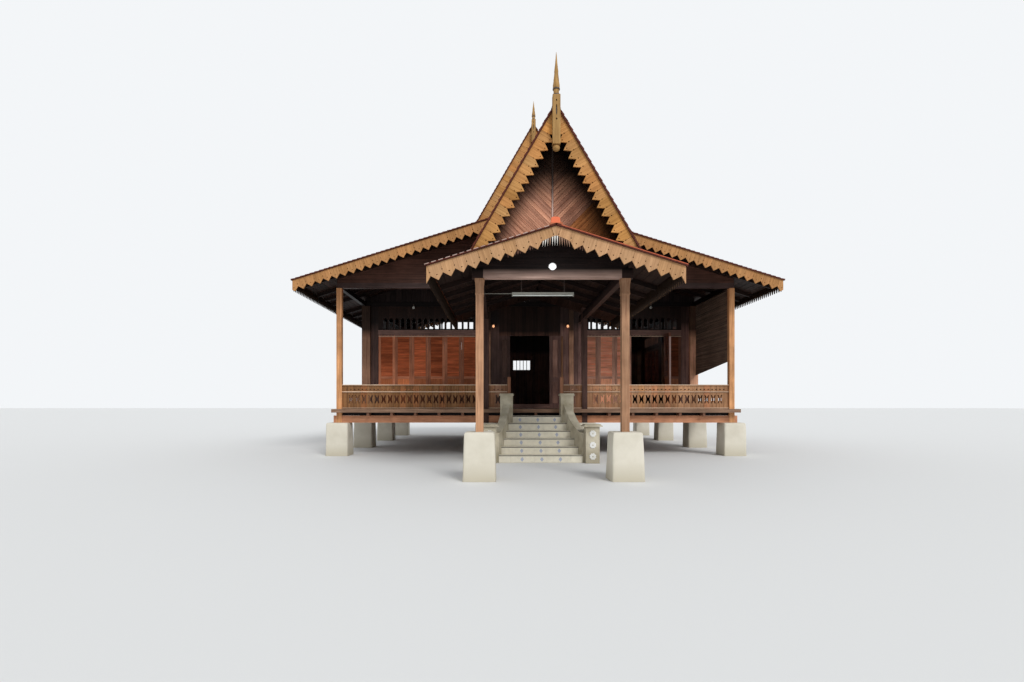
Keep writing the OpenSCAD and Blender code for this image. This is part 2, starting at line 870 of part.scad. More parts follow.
// The open fields of the airy back gable, with a stud between each two of them
module gable_fields(ridge, base_z, half, count) {
    step = (half - stud_w) / count;
    both_sides() for (i = [0:count - 1]) {
        from = i * step + stud_w / 2;
        to = (i + 1) * step - stud_w / 2;
        if (board_under(ridge, to) - stud_w > base_z + 2 * stud_w)
            along_y([
                [from, base_z + stud_w], [to, base_z + stud_w], [to, board_under(ridge, to) - stud_w],
                [from, board_under(ridge, from) - stud_w]
            ], back_y - board_t, back_y + 2 * board_t);
    }
}
stud_w = 60;
gable_studs = 9;

module main_low_gables() {
    color(dark_board) {
        low_gable(main_low_z, plate_top, outer_x + plate_w / 2, porch_back_y);
        difference() {
            low_gable(main_low_z, plate_top, outer_x + plate_w / 2, back_y);
            gable_fields(main_low_z, plate_top, outer_x + plate_w / 2, gable_studs);
        }
    }
}

module main_steep_gables() {
    color(shutter_red) {
        steep_gable(main_ridge_z, main_low_z, main_steep_y0 + gable_set_back);
        steep_gable(main_ridge_z, main_low_z, main_steep_y1 - gable_set_back - board_t);
    }
}

// One layer of a low slope between two depths below its top line
module low_layer(ridge, edge, top, under, from, to) {
    along_y([
        [fit / 2, low_top(ridge, fit / 2) - top], [edge, low_top(ridge, edge) - top],
        [edge, low_top(ridge, edge) - under], [fit / 2, low_top(ridge, fit / 2) - under]
    ], from, to);
}

// Places that share a stretch evenly and stay clear of its ends
function spread(from, to, count) = [for (i = [1:count]) from + (to - from) * i / (count + 1)];

module low_slope(ridge, edge, front_y, back_y, front_reach, back_reach, rafter_ys) {
    inside = edge - tile_reach - eave_t;
    low_layer(ridge, edge, 0, tile_v, front_y - front_reach, back_y + back_reach);
    back_board = back_reach > 0 ? barge_t : 0;
    low_layer(ridge, inside, tile_v / 2, boards_v, front_y + barge_t, back_y - back_board);
    for (y = rafter_ys)
        low_layer(ridge, inside, tile_v, rafters_v, y - rafter_w / 2, y + rafter_w / 2);
}

module porch_low_roof() {
    color(clay) difference() {
        both_sides() low_slope(porch_low_z, porch_eave_x, porch_face_y, y0 + porch_tail,
            tile_reach, 0, spread(porch_y, y0, porch_rafters));
        for (x = inner_posts) square_post(x, y0, post_w, porch_beam_z, plate_z);
    }
}

bay_edges = concat([main_face_y], rows, [main_back_y]);
main_rafter_ys = [for (i = [0:len(bay_edges) - 2],
    y = spread(bay_edges[i], bay_edges[i + 1], i == 0 || i == len(bay_edges) - 2 ? 1 : bay_rafters)) y];

module main_low_roof() {
    color(clay) both_sides() low_slope(main_low_z, eave_x, main_face_y, main_back_y,
        tile_reach, tile_reach, main_rafter_ys);
}

// One slope of a steep roof: tiles over boarding, both cut to the low roof below
module steep_slope(steep, low, from, to, front_reach, back_reach) {
    back_board = back_reach > 0 ? -barge_t : 0;
    for (layer = [[0, tile_s, front_reach, back_reach], [tile_s / 2, boards_s, -barge_t, back_board]]) {
        out = foot_x(steep - layer[0], low);
        in = foot_x(steep - layer[1], low);
        along_y([
            [fit / 2, steep_top(steep, fit / 2) - layer[0]], [out, low_top(low, out)],
            [in, low_top(low, in)], [fit / 2, steep_top(steep, fit / 2) - layer[1]]
        ], from - layer[2], to + layer[3]);
    }
}

module porch_finial_space() {
    box([-shaft_w / 2, shaft_w / 2], [steep_face_y - shaft_w, steep_face_y],
        [porch_low_z, porch_ridge_z + shaft_over]);
}

// The room under the main low roof's rafters, which the porch's ridge runs below
module main_low_body(from, to) {
    under = main_low_z - rafters_v;
    along_y([
        [-eave_x, low_top(under, eave_x)], [0, under], [eave_x, low_top(under, eave_x)],
        [eave_x, main_low_z + plate_h], [-eave_x, main_low_z + plate_h]
    ], from, to);
}

module porch_steep_roof() {
    color(clay) difference() {
        both_sides() steep_slope(porch_ridge_z, porch_low_z, steep_face_y, porch_back_y, tile_reach, 0);
        porch_finial_space();
        main_low_body(main_face_y - tile_reach - fit, y0);
    }
}

main_finial_w = shaft_w * main_finial_k;

module main_steep_roof() {
    color(clay) difference() {
        both_sides() steep_slope(main_ridge_z, main_low_z, main_steep_y0, main_steep_y1,
            tile_reach, tile_reach);
        for (y = [main_steep_y0 - main_finial_w, main_steep_y1])
            box([-main_finial_w / 2, main_finial_w / 2], [y, y + main_finial_w],
                [main_low_z, main_ridge_z + shaft_over]);
    }
}

// A ridge tile: a blunt cap that lies on both slopes
module ridge_cap(ridge, slope, half, from, to) {
    drop = half * slope;
    along_y([
        [-half, ridge - drop], [0, ridge], [half, ridge - drop], [half, ridge - drop + cap_t],
        [half / 3, ridge + cap_t], [-half / 3, ridge + cap_t], [-half, ridge - drop + cap_t]
    ], from, to);
}
cap_t = 36;
low_cap_half = 110;
steep_cap_half = 60;

module ridge_tiles() {
    color(clay) {
        ridge_cap(porch_low_z, low_t, low_cap_half, porch_face_y - tile_reach, porch_y - board_t / 2);
        ridge_cap(main_low_z, low_t, low_cap_half, main_face_y - tile_reach,
            main_steep_y0 + gable_set_back);
        ridge_cap(main_low_z, low_t, low_cap_half, main_steep_y1 - gable_set_back,
            main_back_y + tile_reach);
        ridge_cap(porch_ridge_z, steep_t, steep_cap_half, steep_face_y, main_face_y - tile_reach - fit);
        ridge_cap(main_ridge_z, steep_t, steep_cap_half, main_steep_y0, main_steep_y1);
    }
}

// Outline of a saw-tooth board that falls from the middle at a pitch. Along the board it
// counts whole teeth, each a point of the given length below the solid part, after a plain start.
module saw_board(top_z, pitch, width, tooth, step, length, plain = 0) {
    count = ceil(length / step);
    function at(s, t) = [s * cos(pitch) - t * sin(pitch), top_z - s * sin(pitch) - t * cos(pitch)];
    polygon(concat(
        [at(-width, 0), at(-width, width)],
        [at(plain * step, width)],
        [for (i = [plain:count - 1], p = [[0.5, 1], [1, 0]]) at((i + p[0]) * step, width + p[1] * tooth)],
        [at(count * step, 0)]
    ));
}

module board_at(y) {
    translate([0, y + barge_t, 0]) rotate([90, 0, 0]) linear_extrude(barge_t) children();
}

module low_board(ridge, edge, plain = 0) {
    intersection() {
        saw_board(ridge - tile_v, low_pitch, low_barge_w, low_tooth, low_tooth_pitch,
            edge / cos(low_pitch) + low_tooth_pitch, plain);
        translate([fit / 2, 0]) square([edge - tile_reach - fit / 2, ridge]);
    }
}

// Steep boards end on the low roof's tiles
module steep_board(steep, low, width) {
    reach = 2 * foot_x(steep, low);
    intersection() {
        saw_board(steep - tile_s, steep_pitch, width, steep_tooth, steep_tooth_pitch,
            reach / cos(steep_pitch));
        polygon([[fit / 2, low], [reach, low_top(low, reach)], [reach, steep], [fit / 2, steep]]);
    }
}

// Half of the fan at the low apex: the board is cut back in an arch, and from the arch hang
// pointed rays that lean outwards and end on a flat curve
module fan_board(ridge, edge) {
    edge_z = ridge - tile_v - low_barge_w / cos(low_pitch);
    step = fan_half / half_rays;
    teeth_from = (fan_half + low_barge_w * sin(low_pitch)) / cos(low_pitch);
    function arch_z(x) = edge_z - x * low_t + arch_rise * cos(90 * x / fan_half);
    function tip_z(x) = edge_z - fan_half * low_t - low_tooth + arch_rise * (1 - pow(x / fan_half, 2));
    difference() {
        low_board(ridge, edge, teeth_from / low_tooth_pitch);
        polygon(concat(
            [[0, edge_z - low_barge_w], [0, arch_z(0)]],
            [for (i = [1:half_rays]) [i * step, arch_z(i * step)]],
            [[fan_half, edge_z - low_barge_w - fan_half * low_t]]
        ));
    }
    for (i = [0:half_rays - 1]) {
        x = (i + 0.5) * step;
        root = arch_z(x) + ray_root;
        polygon([
            [x - ray_w / 2, root], [x + ray_w / 2, root],
            [x + ray_w / 2, root - 2 * ray_root], [x * ray_spread, tip_z(x)],
            [x - ray_w / 2, root - 2 * ray_root]
        ]);
    }
}
arch_rise = 30;
ray_root = 14;
ray_spread = 1.06;

module porch_bargeboards() {
    color(barge_tan) {
        both_sides() board_at(porch_face_y) fan_board(porch_low_z, porch_eave_x);
        both_sides() board_at(steep_face_y) steep_board(porch_ridge_z, porch_low_z, steep_barge_w);
    }
}

module main_low_bargeboards() {
    spare = steep_top(porch_ridge_z + fit * 2, 0);
    color(barge_tan) {
        difference() {
            both_sides() board_at(main_face_y) low_board(main_low_z, eave_x);
            along_y([[-foot_x(spare, porch_low_z), low_top(porch_low_z, foot_x(spare, porch_low_z))],
                [foot_x(spare, porch_low_z), low_top(porch_low_z, foot_x(spare, porch_low_z))], [0, spare]],
                main_face_y - barge_t, main_face_y + 2 * barge_t);
        }
        both_sides() board_at(main_back_y - barge_t) low_board(main_low_z, eave_x);
    }
}

module main_steep_bargeboards() {
    color(barge_tan) both_sides() for (y = [main_steep_y0, main_steep_y1 - barge_t])
        board_at(y) steep_board(main_ridge_z, main_low_z, main_steep_barge_w);
}

// A board under the eave that ends in a row of long points, along Y
module eave_board(top_z, edge, from, to) {
    count = floor((to - from) / point_pitch);
    step = (to - from) / count;
    along_x(concat(
        [[to, top_z], [from, top_z]],
        [for (i = [0:count - 1], p = [[point_gap, 0], [0.5, -point_l], [1 - point_gap, 0]])
            [from + (i + p[0]) * step, top_z - eave_h + p[1]]]
    ), edge - tile_reach - eave_t, edge - tile_reach);
}

point_gap = 0.12;

module eave_boards() {
    main_z = low_top(main_low_z, eave_x - tile_reach) - tile_v;
    porch_z = low_top(porch_low_z, porch_eave_x - tile_reach) - tile_v;
    color(barge_tan) both_sides() {
        eave_board(main_z, eave_x, main_face_y + barge_t, main_back_y - barge_t);
        eave_board(porch_z, porch_eave_x, porch_face_y + barge_t, y0 + porch_tail);
    }
}

// A finial: a ball, a square shaft on the boards' face, turned rings and a slender spire
module finial(spire) {
    bevel = ring_t / 2;
    upper_z = shaft_over + ring_t + neck_h;
    translate([-shaft_w / 2, -shaft_w, shaft_over - shaft_l]) cube([shaft_w, shaft_w, shaft_l]);
    translate([0, -shaft_w / 2, 0]) {
        rotate_extrude($fn = 48) polygon([
            [0, shaft_over], [ring_d / 2, shaft_over], [ring_d / 2, shaft_over + ring_t],
            [neck_d / 2, shaft_over + ring_t + bevel], [neck_d / 2, upper_z - bevel],
            [upper_ring_d / 2, upper_z], [upper_ring_d / 2, upper_z + ring_t],
            [spire_d / 2, upper_z + ring_t + bevel], [0, shaft_over + spire]
        ]);
        translate([0, 0, shaft_over - shaft_l - ball_d / 3]) sphere(d = ball_d, $fn = 48);
    }
}

module finials() {
    color(barge_tan) {
        translate([0, steep_face_y, porch_ridge_z]) finial(spire_h);
        for (end = [[main_steep_y0, 0], [main_steep_y1, 180]])
            translate([0, end[0], main_ridge_z]) rotate([0, 0, end[1]]) scale(main_finial_k)
                finial(main_spire_h);
    }
}

porch_piers();
house_piers();
stair_flight();
stair_flank_left();
stair_flank_right();
floor_bearers();
floor_joists();
veranda_deck();
house_floor();
porch_posts();
veranda_posts();
wall_posts();
porch_beams();
wall_plates();
railing_front_left();
railing_front_right();
railing_stair();
railing_sides();
front_boards();
front_clerestory();
window_sills();
window_heads();
door_frame();
side_wall_left();
side_wall_right();
back_wall();
front_shutters_left();
front_shutters_right();
side_shutters();
back_shutters();
side_screen();
porch_tympanum();
porch_gable_wall();
main_low_gables();
main_steep_gables();
porch_low_roof();
porch_steep_roof();
main_low_roof();
main_steep_roof();
ridge_tiles();
porch_bargeboards();
main_low_bargeboards();
main_steep_bargeboards();
eave_boards();
finials();
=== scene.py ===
# %% [markdown]
# # A timber stilt house on masonry piers
#
# The construction of this house is ready: posts, floors, walls, roofs and boards, each at its real size.
# This notebook gives it the look of a built house, one trade after another: clay tiles, boarding, drilled
# saw-tooth boards, clad gables, leaves, finials, piers, stair, lamps, and paint for what is left. Lengths
# are in metres. X runs along the front, Y runs from the porch to the back wall, and Z is up.

import bmesh
import bpy
import numpy as np
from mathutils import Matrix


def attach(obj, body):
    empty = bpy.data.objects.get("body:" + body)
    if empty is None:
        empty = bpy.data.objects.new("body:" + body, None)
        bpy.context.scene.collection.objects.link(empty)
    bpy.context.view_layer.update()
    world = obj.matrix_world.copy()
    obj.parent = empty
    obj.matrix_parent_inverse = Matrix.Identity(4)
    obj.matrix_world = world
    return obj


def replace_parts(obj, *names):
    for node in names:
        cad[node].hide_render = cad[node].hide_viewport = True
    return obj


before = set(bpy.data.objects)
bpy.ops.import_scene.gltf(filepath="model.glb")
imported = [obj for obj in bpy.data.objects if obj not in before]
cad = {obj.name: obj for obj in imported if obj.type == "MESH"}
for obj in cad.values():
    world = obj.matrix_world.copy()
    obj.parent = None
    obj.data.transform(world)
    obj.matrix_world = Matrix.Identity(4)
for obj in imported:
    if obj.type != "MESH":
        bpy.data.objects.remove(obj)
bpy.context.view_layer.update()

# %% [markdown]
# ## The camera
#
# The camera stands at eye height, 10 m before the porch, and looks level, so upright posts stay upright
# in the picture. To get the tall gable in without tilting, the picture is shifted upwards. The shift could
# be replaced by a wider lens and a crop, but then the house would be drawn smaller.

# %% Stand the camera before the porch
picture_w, picture_h = 1024, 682
horizon_row, middle_column = 403.5, 500
sensor_w, focal_length = 36, 19.34
eye = (-1.03, -18.6475, 1.5)

front_camera = bpy.data.cameras.new("front_camera")
front_camera.sensor_width = sensor_w
front_camera.lens = focal_length
front_camera.shift_x = (picture_w / 2 - middle_column) / picture_w
front_camera.shift_y = (horizon_row - picture_h / 2) / picture_w
camera_stand = bpy.data.objects.new("front_camera", front_camera)
camera_stand.location = eye
camera_stand.rotation_euler = (np.pi / 2, 0, 0)
bpy.context.collection.objects.link(camera_stand)
bpy.context.scene.camera = camera_stand
print("one metre is", round(picture_w * focal_length / sensor_w / 10), "pixels at a distance of 10 m")

# %% [markdown]
# ## Meshes from numbers
#
# Nearly everything on a timber house is a stick, a board or a tile, and each of those is an outline
# carried from one place to another. Each could be a cube, scaled and turned. Here one helper does most of
# the work: it takes a stack of outlines, joins each one to the next with four-sided faces, and closes the
# first and the last. It works on whole arrays, so ten thousand tiles cost no more lines than one board.

# %% Stack outlines into closed solids
def stack(outlines, ring=False):
    """Solids from stacked outlines, given as (layers, pieces, corners, 3). Corner c of one layer is
    joined to corner c of the next, and the first and last outlines close the ends, or are joined to
    each other in a ring. Where an outline runs the wrong way round, its corners are taken in reverse,
    so that every face looks outwards. Returns points, face arrays and the piece of each point."""
    outlines = np.asarray(outlines, float)
    layers, pieces, corners, _ = outlines.shape
    first = outlines[0] - outlines[0].mean(1, keepdims=True)
    facing = np.cross(first, np.roll(first, -1, axis=1)).sum(1)
    along = outlines[-1].mean(1) - outlines[0].mean(1)
    inside_out = (facing * along).sum(1) > 0
    outlines = np.where(inside_out[None, :, None, None], outlines[:, :, ::-1], outlines)
    index = np.arange(layers * pieces * corners).reshape(layers, pieces, corners)
    onward = np.roll(index, -1, axis=2)
    below, onward_below = np.roll(index, -1, axis=0), np.roll(onward, -1, axis=0)
    walls = np.stack([index, below, onward_below, onward], axis=-1)
    owner = np.tile(np.repeat(np.arange(pieces), corners), layers)
    if ring:
        return outlines.reshape(-1, 3), [walls.reshape(-1, 4)], owner
    ends = np.concatenate([index[0], index[-1, :, ::-1]])
    return outlines.reshape(-1, 3), [walls[:-1].reshape(-1, 4), ends], owner


def joined(solids):
    """Several stacks as one. The corner numbers of each stack move up by the points before it, and its
    piece numbers by the pieces before it."""
    points, faces, owners, first_point, first_piece = [], [], [], 0, 0
    for own_points, own_faces, owner in solids:
        points.append(own_points)
        faces += [group + first_point for group in own_faces]
        owners.append(owner + first_piece)
        first_point += len(own_points)
        first_piece += owner.max() + 1
    return np.concatenate(points), faces, np.concatenate(owners)


# %% Put a mesh into the scene
def piece(name, points, faces, finish, uv=None, tone=None, smooth=False):
    """A mesh object from points and a list of face arrays. uv and tone are given for each point: uv
    runs along and across a board in metres, and tone says how light that board is, from 0 to 1."""
    mesh = bpy.data.meshes.new(name)
    mesh.from_pydata(points.tolist(), [], [face for group in faces for face in group.tolist()])
    if uv is not None:
        corner = np.empty(len(mesh.loops), np.int32)
        mesh.loops.foreach_get("vertex_index", corner)
        mesh.uv_layers.new(name="board").data.foreach_set("uv", uv[corner].astype(np.float32).ravel())
    if tone is not None:
        mesh.attributes.new("tone", "FLOAT", "POINT").data.foreach_set("value", tone.astype(np.float32))
    if smooth:
        mesh.shade_smooth()
    mesh.materials.append(finish)
    made = bpy.data.objects.new(name, mesh)
    bpy.context.collection.objects.link(made)
    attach(made, "root")
    print(name, len(points), "points")
    return made


# %% [markdown]
# ## Boards
#
# A sawn board has a face, a thickness and slightly rubbed edges. The rubbed edge matters more than its
# size suggests: it is what catches the light between two boards that lie flush. The edge could come
# from a Bevel modifier, but as the outline is known, the narrower face is simply one more outline in
# the stack. Each board also gets its own start in the grain and its own tone, because no two boards are
# cut from the same part of a log.

# %% Cut boards from four-cornered faces
def unit(vectors):
    """Vectors divided by their lengths."""
    return vectors / np.linalg.norm(vectors, axis=-1, keepdims=True)


def board_solids(faces, towards, thick, rubbed=0.003, seed=1):
    """Boards from outer faces given as (boards, 4, 3), the first edge running along the grain and the
    face looking towards a direction, one for all or one for each. The face is drawn in by the rubbed
    edge along both edges at each corner, and the back is the face moved against the outward normal by
    the thickness."""
    faces = np.asarray(faces, float)
    normal = np.cross(faces[:, 1] - faces[:, 0], faces[:, 3] - faces[:, 0])
    away = (normal * np.asarray(towards, float)).sum(1) < 0
    faces = np.where(away[:, None, None], faces[:, [1, 0, 3, 2]], faces)
    to_next = unit(np.roll(faces, -1, axis=1) - faces)
    to_last = unit(np.roll(faces, 1, axis=1) - faces)
    turn = np.linalg.norm(np.cross(to_next, to_last), axis=-1, keepdims=True)
    outward = unit(np.cross(faces[:, 1] - faces[:, 0], faces[:, 3] - faces[:, 0]))[:, None]
    drawn_in = faces + rubbed * (to_next + to_last) / turn
    points, polygons, owner = stack([drawn_in, faces - rubbed * outward, faces - thick * outward])
    grain = to_next[:, 0]
    across = np.cross(outward[:, 0], grain) + outward[:, 0]
    local = points - faces[owner, 0]
    random = np.random.default_rng(seed).random((len(faces), 3))[owner]
    uv = np.stack([(local * grain[owner]).sum(1) + 40 * random[:, 0],
                   (local * across[owner]).sum(1) + 40 * random[:, 1]], axis=1)
    return points, polygons, uv, random[:, 2]


def boards(name, faces, towards, thick, finish, rubbed=0.003, seed=1, tone=None):
    """Boards as one piece. tone gives each board its own tone in place of a random one: it is repeated
    for the four corners of each of the three outlines."""
    points, polygons, uv, own = board_solids(faces, towards, thick, rubbed, seed)
    if tone is not None:
        own = np.tile(np.repeat(tone, 4), 3)
    return piece(name, points, polygons, finish, uv, own)


# %% [markdown]
# Rafters, bars and battens are sticks with a four-sided section between two points. Their edges stay
# sharp, because they are too thin or too dark for a rubbed edge to show.

# %% Cut sticks between two points
def grained(points, along, owner, seed):
    """Board coordinates for any solid: metres along the grain and across it, each board with a random
    start of its own. The random tone of each board comes with them."""
    random = np.random.default_rng(seed).random((owner.max() + 1, 3))[owner]
    along = np.broadcast_to(np.asarray(along, float), points.shape)
    reach = (points * along).sum(1)
    across = (points - reach[:, None] * along).sum(1)
    return np.stack([reach + 40 * random[:, 0], across + 40 * random[:, 1]], axis=1), random[:, 2]


def sticks(name, starts, ends, wide, high, finish, seed=1, tone=None):
    """Sticks from start points to end points, all (sticks, 3). The section is wide along the vector
    `wide` and high along the vector `high`, for all sticks or for each, so two outlines make a stick."""
    starts, ends = np.atleast_2d(starts).astype(float), np.atleast_2d(ends).astype(float)
    wide = np.broadcast_to(np.asarray(wide, float) / 2, starts.shape)
    high = np.broadcast_to(np.asarray(high, float) / 2, starts.shape)
    corner = np.stack([-wide - high, wide - high, wide + high, -wide + high], axis=1)
    points, polygons, owner = stack([starts[:, None] + corner, ends[:, None] + corner])
    uv, own = grained(points, unit(ends - starts)[owner], owner, seed)
    return piece(name, points, polygons, finish, uv, own if tone is None else tone[owner])


# %% [markdown]
# Rays, laths, shafts and post heads have outlines of their own, but all stand upright: their outlines lie
# in a plane across the house, and their grain runs up. Two more helpers serve them.

# %% Set outlines upright
X_AXIS, Y_AXIS, Z_AXIS = np.eye(3)


def upright(outlines, *planes):
    """Layers for `stack`: outlines of X and Z, given as (pieces, corners, 2), get the Y of each plane."""
    outlines = np.asarray(outlines, float)
    return np.stack([np.stack([outlines[..., 0], np.full(outlines.shape[:-1], y), outlines[..., 1]], axis=-1)
                     for y in planes])


def upright_piece(name, solids, finish, seed, tone=None):
    """Stacked or joined solids as one piece with the grain running up. tone is given for each solid."""
    points, polygons, owner = solids
    uv, own = grained(points, Z_AXIS, owner, seed)
    return piece(name, points, polygons, finish, uv, own if tone is None else tone[owner])


# %% [markdown]
# ## Finishes
#
# Each finish is a small network of nodes. Short helpers keep the networks readable: they open a material,
# add a node, do a sum, make a noise, pick from a row of colours, stretch a value, darken or blend a colour,
# and coat the surface with the result.

# %% Helpers for node networks
def open_finish(name):
    """A new material, its node tree and its shader."""
    finish = bpy.data.materials.new(name)
    finish.use_nodes = True
    print("finish:", name)
    return finish, finish.node_tree, finish.node_tree.nodes["Principled BSDF"]


def add(tree, kind, inputs=(), links=(), **settings):
    """A node with constant inputs, links from other sockets, and settings."""
    node = tree.nodes.new(kind)
    for key, value in settings.items():
        setattr(node, key, value)
    for key, value in dict(inputs).items():
        node.inputs[key].default_value = value
    for key, socket in dict(links).items():
        tree.links.new(socket, node.inputs[key])
    return node


def sums(tree, operation, *values):
    """A Math node on numbers and other nodes' values."""
    linked = {key: value for key, value in enumerate(values) if isinstance(value, bpy.types.NodeSocket)}
    fixed = {key: value for key, value in enumerate(values) if key not in linked}
    return add(tree, "ShaderNodeMath", fixed, linked, operation=operation).outputs[0]


def noise(tree, place, scale, detail, roughness=0.5, distortion=0.0):
    """The grey value of a noise pattern."""
    return add(tree, "ShaderNodeTexNoise", {"Scale": scale, "Detail": detail, "Roughness": roughness,
                                            "Distortion": distortion}, {"Vector": place}).outputs["Fac"]


def shades(tree, factor, stops):
    """A colour ramp: (place, (r, g, b)) stops over a factor from 0 to 1."""
    ramp = add(tree, "ShaderNodeValToRGB", links={"Fac": factor})
    bar = ramp.color_ramp
    while len(bar.elements) < len(stops):
        bar.elements.new(0.5)
    for element, (place, colour) in zip(bar.elements, stops):
        element.position = place
        element.color = (*colour, 1)
    return ramp.outputs["Color"]


def spread(tree, value, low, high, start=0.0, end=1.0):
    """A value stretched from the range start..end to the range low..high."""
    node = add(tree, "ShaderNodeMapRange", {"From Min": start, "From Max": end, "To Min": low,
                                            "To Max": high}, {"Value": value})
    return node.outputs["Result"]


def darken(tree, colour, factor):
    """A colour multiplied by a grey value or by another colour."""
    mix = add(tree, "ShaderNodeMix", {"Factor": 1.0}, {6: colour, 7: factor}, data_type="RGBA",
              blend_type="MULTIPLY")
    return mix.outputs[2]


def blend(tree, share, first, second):
    """One colour passing into another as the share goes from 0 to 1."""
    return add(tree, "ShaderNodeMix", links={0: share, 6: first, 7: second}, data_type="RGBA").outputs[2]


def coat(tree, shader, colour, roughness, sheen, height, strength, distance):
    """Colour, roughness and relief linked to the shader. sheen is its specular level."""
    relief = add(tree, "ShaderNodeBump", {"Strength": strength, "Distance": distance}, {"Height": height})
    tree.links.new(colour, shader.inputs["Base Color"])
    tree.links.new(roughness, shader.inputs["Roughness"])
    tree.links.new(relief.outputs["Normal"], shader.inputs["Normal"])
    shader.inputs["Specular IOR Level"].default_value = sheen


# %% [markdown]
# ### Timber
#
# Wood shows its years as streaks along the grain, and its life as slow patches of weather. Both are
# noise: the streaks are noise squeezed across the grain, the patches are noise at arm's length. On
# boards made here the pattern follows the board's own UV map. On the pieces of the construction model
# it is measured from the object's axes, with the grain along one of them. Where a wall is boarded, a
# saw-wave adds the joints and each board's own tone. A finish can also carry painted shade and light:
# it can darken close below a steep roof as the roof's shadow would, and fade with height, along the
# house or across it, where shade or light falls unevenly. Old dry wood has hardly any sheen, so the
# specular level stays low: a higher one would lay a grey veil over the browns.

# %% Timber finish
GRAIN_SCALE = {"x": (1.3, 34, 34), "y": (34, 1.3, 34), "z": (34, 34, 1.3), "board": (1.3, 34, 1)}


def timber(name, dark, light, grain, rough=0.6, patch=0.35, tone=0.3, tints=None, fade=None, inner=None,
           depth=None, breadth=None, slope_shadow=None, joint_axis=None, joint=0.15, joint_start=0.0, bump=0.35):
    """Sawn timber between two browns. grain is x, y, z or board. tone is how far one board differs from
    the next, and tints are the colours it can be stained with. fade is two heights and the share of
    brightness at each, depth is the same for two places along the house and breadth for two places
    across it. inner is a distance from the middle and the two browns nearer to it.
    slope_shadow is a steep ridge's height and two distances below its slope: it paints the roof's
    shadow, dark up to the first distance and full colour from the second. The slope falls at 60 degrees,
    so that distance is half the drop from the ridge less 0.866 times the way out. fade, depth, breadth and
    inner are painted shade and light as well.
    joint_axis draws joints one board apart, from joint_start, the same on both sides of the house."""
    finish, tree, shader = open_finish(name)
    place = built = add(tree, "ShaderNodeTexCoord").outputs["Object"]
    axes = add(tree, "ShaderNodeSeparateXYZ", links={"Vector": built})
    if grain == "board":
        place = add(tree, "ShaderNodeUVMap", uv_map="board").outputs["UV"]
    squeezed = add(tree, "ShaderNodeMapping", {"Scale": GRAIN_SCALE[grain]}, {"Vector": place})
    height = streak = noise(tree, squeezed.outputs[0], 1.0, 6.0, 0.62, 0.5)
    colour = shades(tree, streak, [(0.28, dark), (0.72, light)])
    out = sums(tree, "ABSOLUTE", axes.outputs["X"])
    # Painted light and shade: other browns within a distance of the middle.
    if inner:
        near = shades(tree, streak, [(0.28, inner[1]), (0.72, inner[2])])
        colour = blend(tree, sums(tree, "GREATER_THAN", out, inner[0]), near, colour)
    slow = noise(tree, place, 1.1, 4.0, 0.6)
    colour = darken(tree, colour, spread(tree, slow, 1 - patch, 1 + patch, 0.3, 0.7))
    # Painted shade and light: brightness that changes across the house, along it and with height.
    for axis, change in (("X", breadth), ("Y", depth), ("Z", fade)):
        if change:
            start, end, low, high = change
            colour = darken(tree, colour, spread(tree, axes.outputs[axis], low, high, start, end))
    # Painted shadow of a steep roof: darkest close below its slope.
    if slope_shadow:
        ridge, dark_to, full_from = slope_shadow
        drop = sums(tree, "MULTIPLY_ADD", axes.outputs["Z"], -0.5, ridge / 2)
        below = sums(tree, "MULTIPLY_ADD", out, -0.866, drop)
        colour = darken(tree, colour, spread(tree, below, 0.1, 1.0, dark_to, full_from))
    own = None
    if grain == "board":
        own = add(tree, "ShaderNodeAttribute", attribute_name="tone").outputs["Fac"]
    if joint_axis:
        at = out if joint_axis == "X" else axes.outputs[joint_axis]
        count = sums(tree, "MULTIPLY_ADD", at, 1 / joint, -joint_start / joint)
        own = add(tree, "ShaderNodeTexWhiteNoise", links={"W": sums(tree, "FLOOR", count)},
                  noise_dimensions="1D").outputs["Value"]
    if own:
        colour = darken(tree, colour, spread(tree, own, 1 - tone, 1 + tone))
    if own and tints:
        colour = darken(tree, colour, shades(tree, own, tints))
    if joint_axis:
        edge = sums(tree, "ABSOLUTE", sums(tree, "SUBTRACT", sums(tree, "FRACT", count), 0.5))
        face = spread(tree, edge, 1.0, 0.0, 0.5 - 0.006 / joint, 0.5 - 0.001 / joint)
        colour = darken(tree, colour, spread(tree, face, 0.25, 1.0))
        height = sums(tree, "MULTIPLY", streak, face)
    coat(tree, shader, colour, spread(tree, streak, rough + 0.12, rough - 0.1), 0.15, height, bump, 0.004)
    return finish


# %% [markdown]
# ### Masonry
#
# The piers are limewashed plaster, the stair's flanks are bare cement render. Both are two tones of one
# colour: the trowel leaves a slow unevenness, damp rises from below, and grit roughens the face.

# %% Plaster and render finish
def masonry(name, dark, light, damp, damp_top=0.3, grit=60.0, rough=0.85, bump=0.3):
    """Two tones mixed by a slow noise, a damp tone that fades out above the foot, and fine grit."""
    finish, tree, shader = open_finish(name)
    place = add(tree, "ShaderNodeTexCoord").outputs["Object"]
    slow = noise(tree, place, 2.3, 5.0, 0.6)
    colour = shades(tree, slow, [(0.3, dark), (0.65, light)])
    height = add(tree, "ShaderNodeSeparateXYZ", links={"Vector": place}).outputs["Z"]
    level = sums(tree, "SUBTRACT", height, sums(tree, "MULTIPLY", slow, 0.3))
    wet = spread(tree, level, 0.75, 0.0, -0.15, damp_top)
    mix = add(tree, "ShaderNodeMix", {7: (*damp, 1)}, {0: wet, 6: colour}, data_type="RGBA")
    fine = noise(tree, place, grit, 4.0)
    coat(tree, shader, mix.outputs[2], spread(tree, fine, rough - 0.1, rough + 0.1), 0.3, fine, bump, 0.006)
    return finish


# %% [markdown]
# ### Glaze, enamel and lit glass
#
# The stair's tiles are glazed, the lamp housings are enamelled sheet, and a lit lamp shines by itself.
# Each is one colour with its own roughness, so a single helper serves.

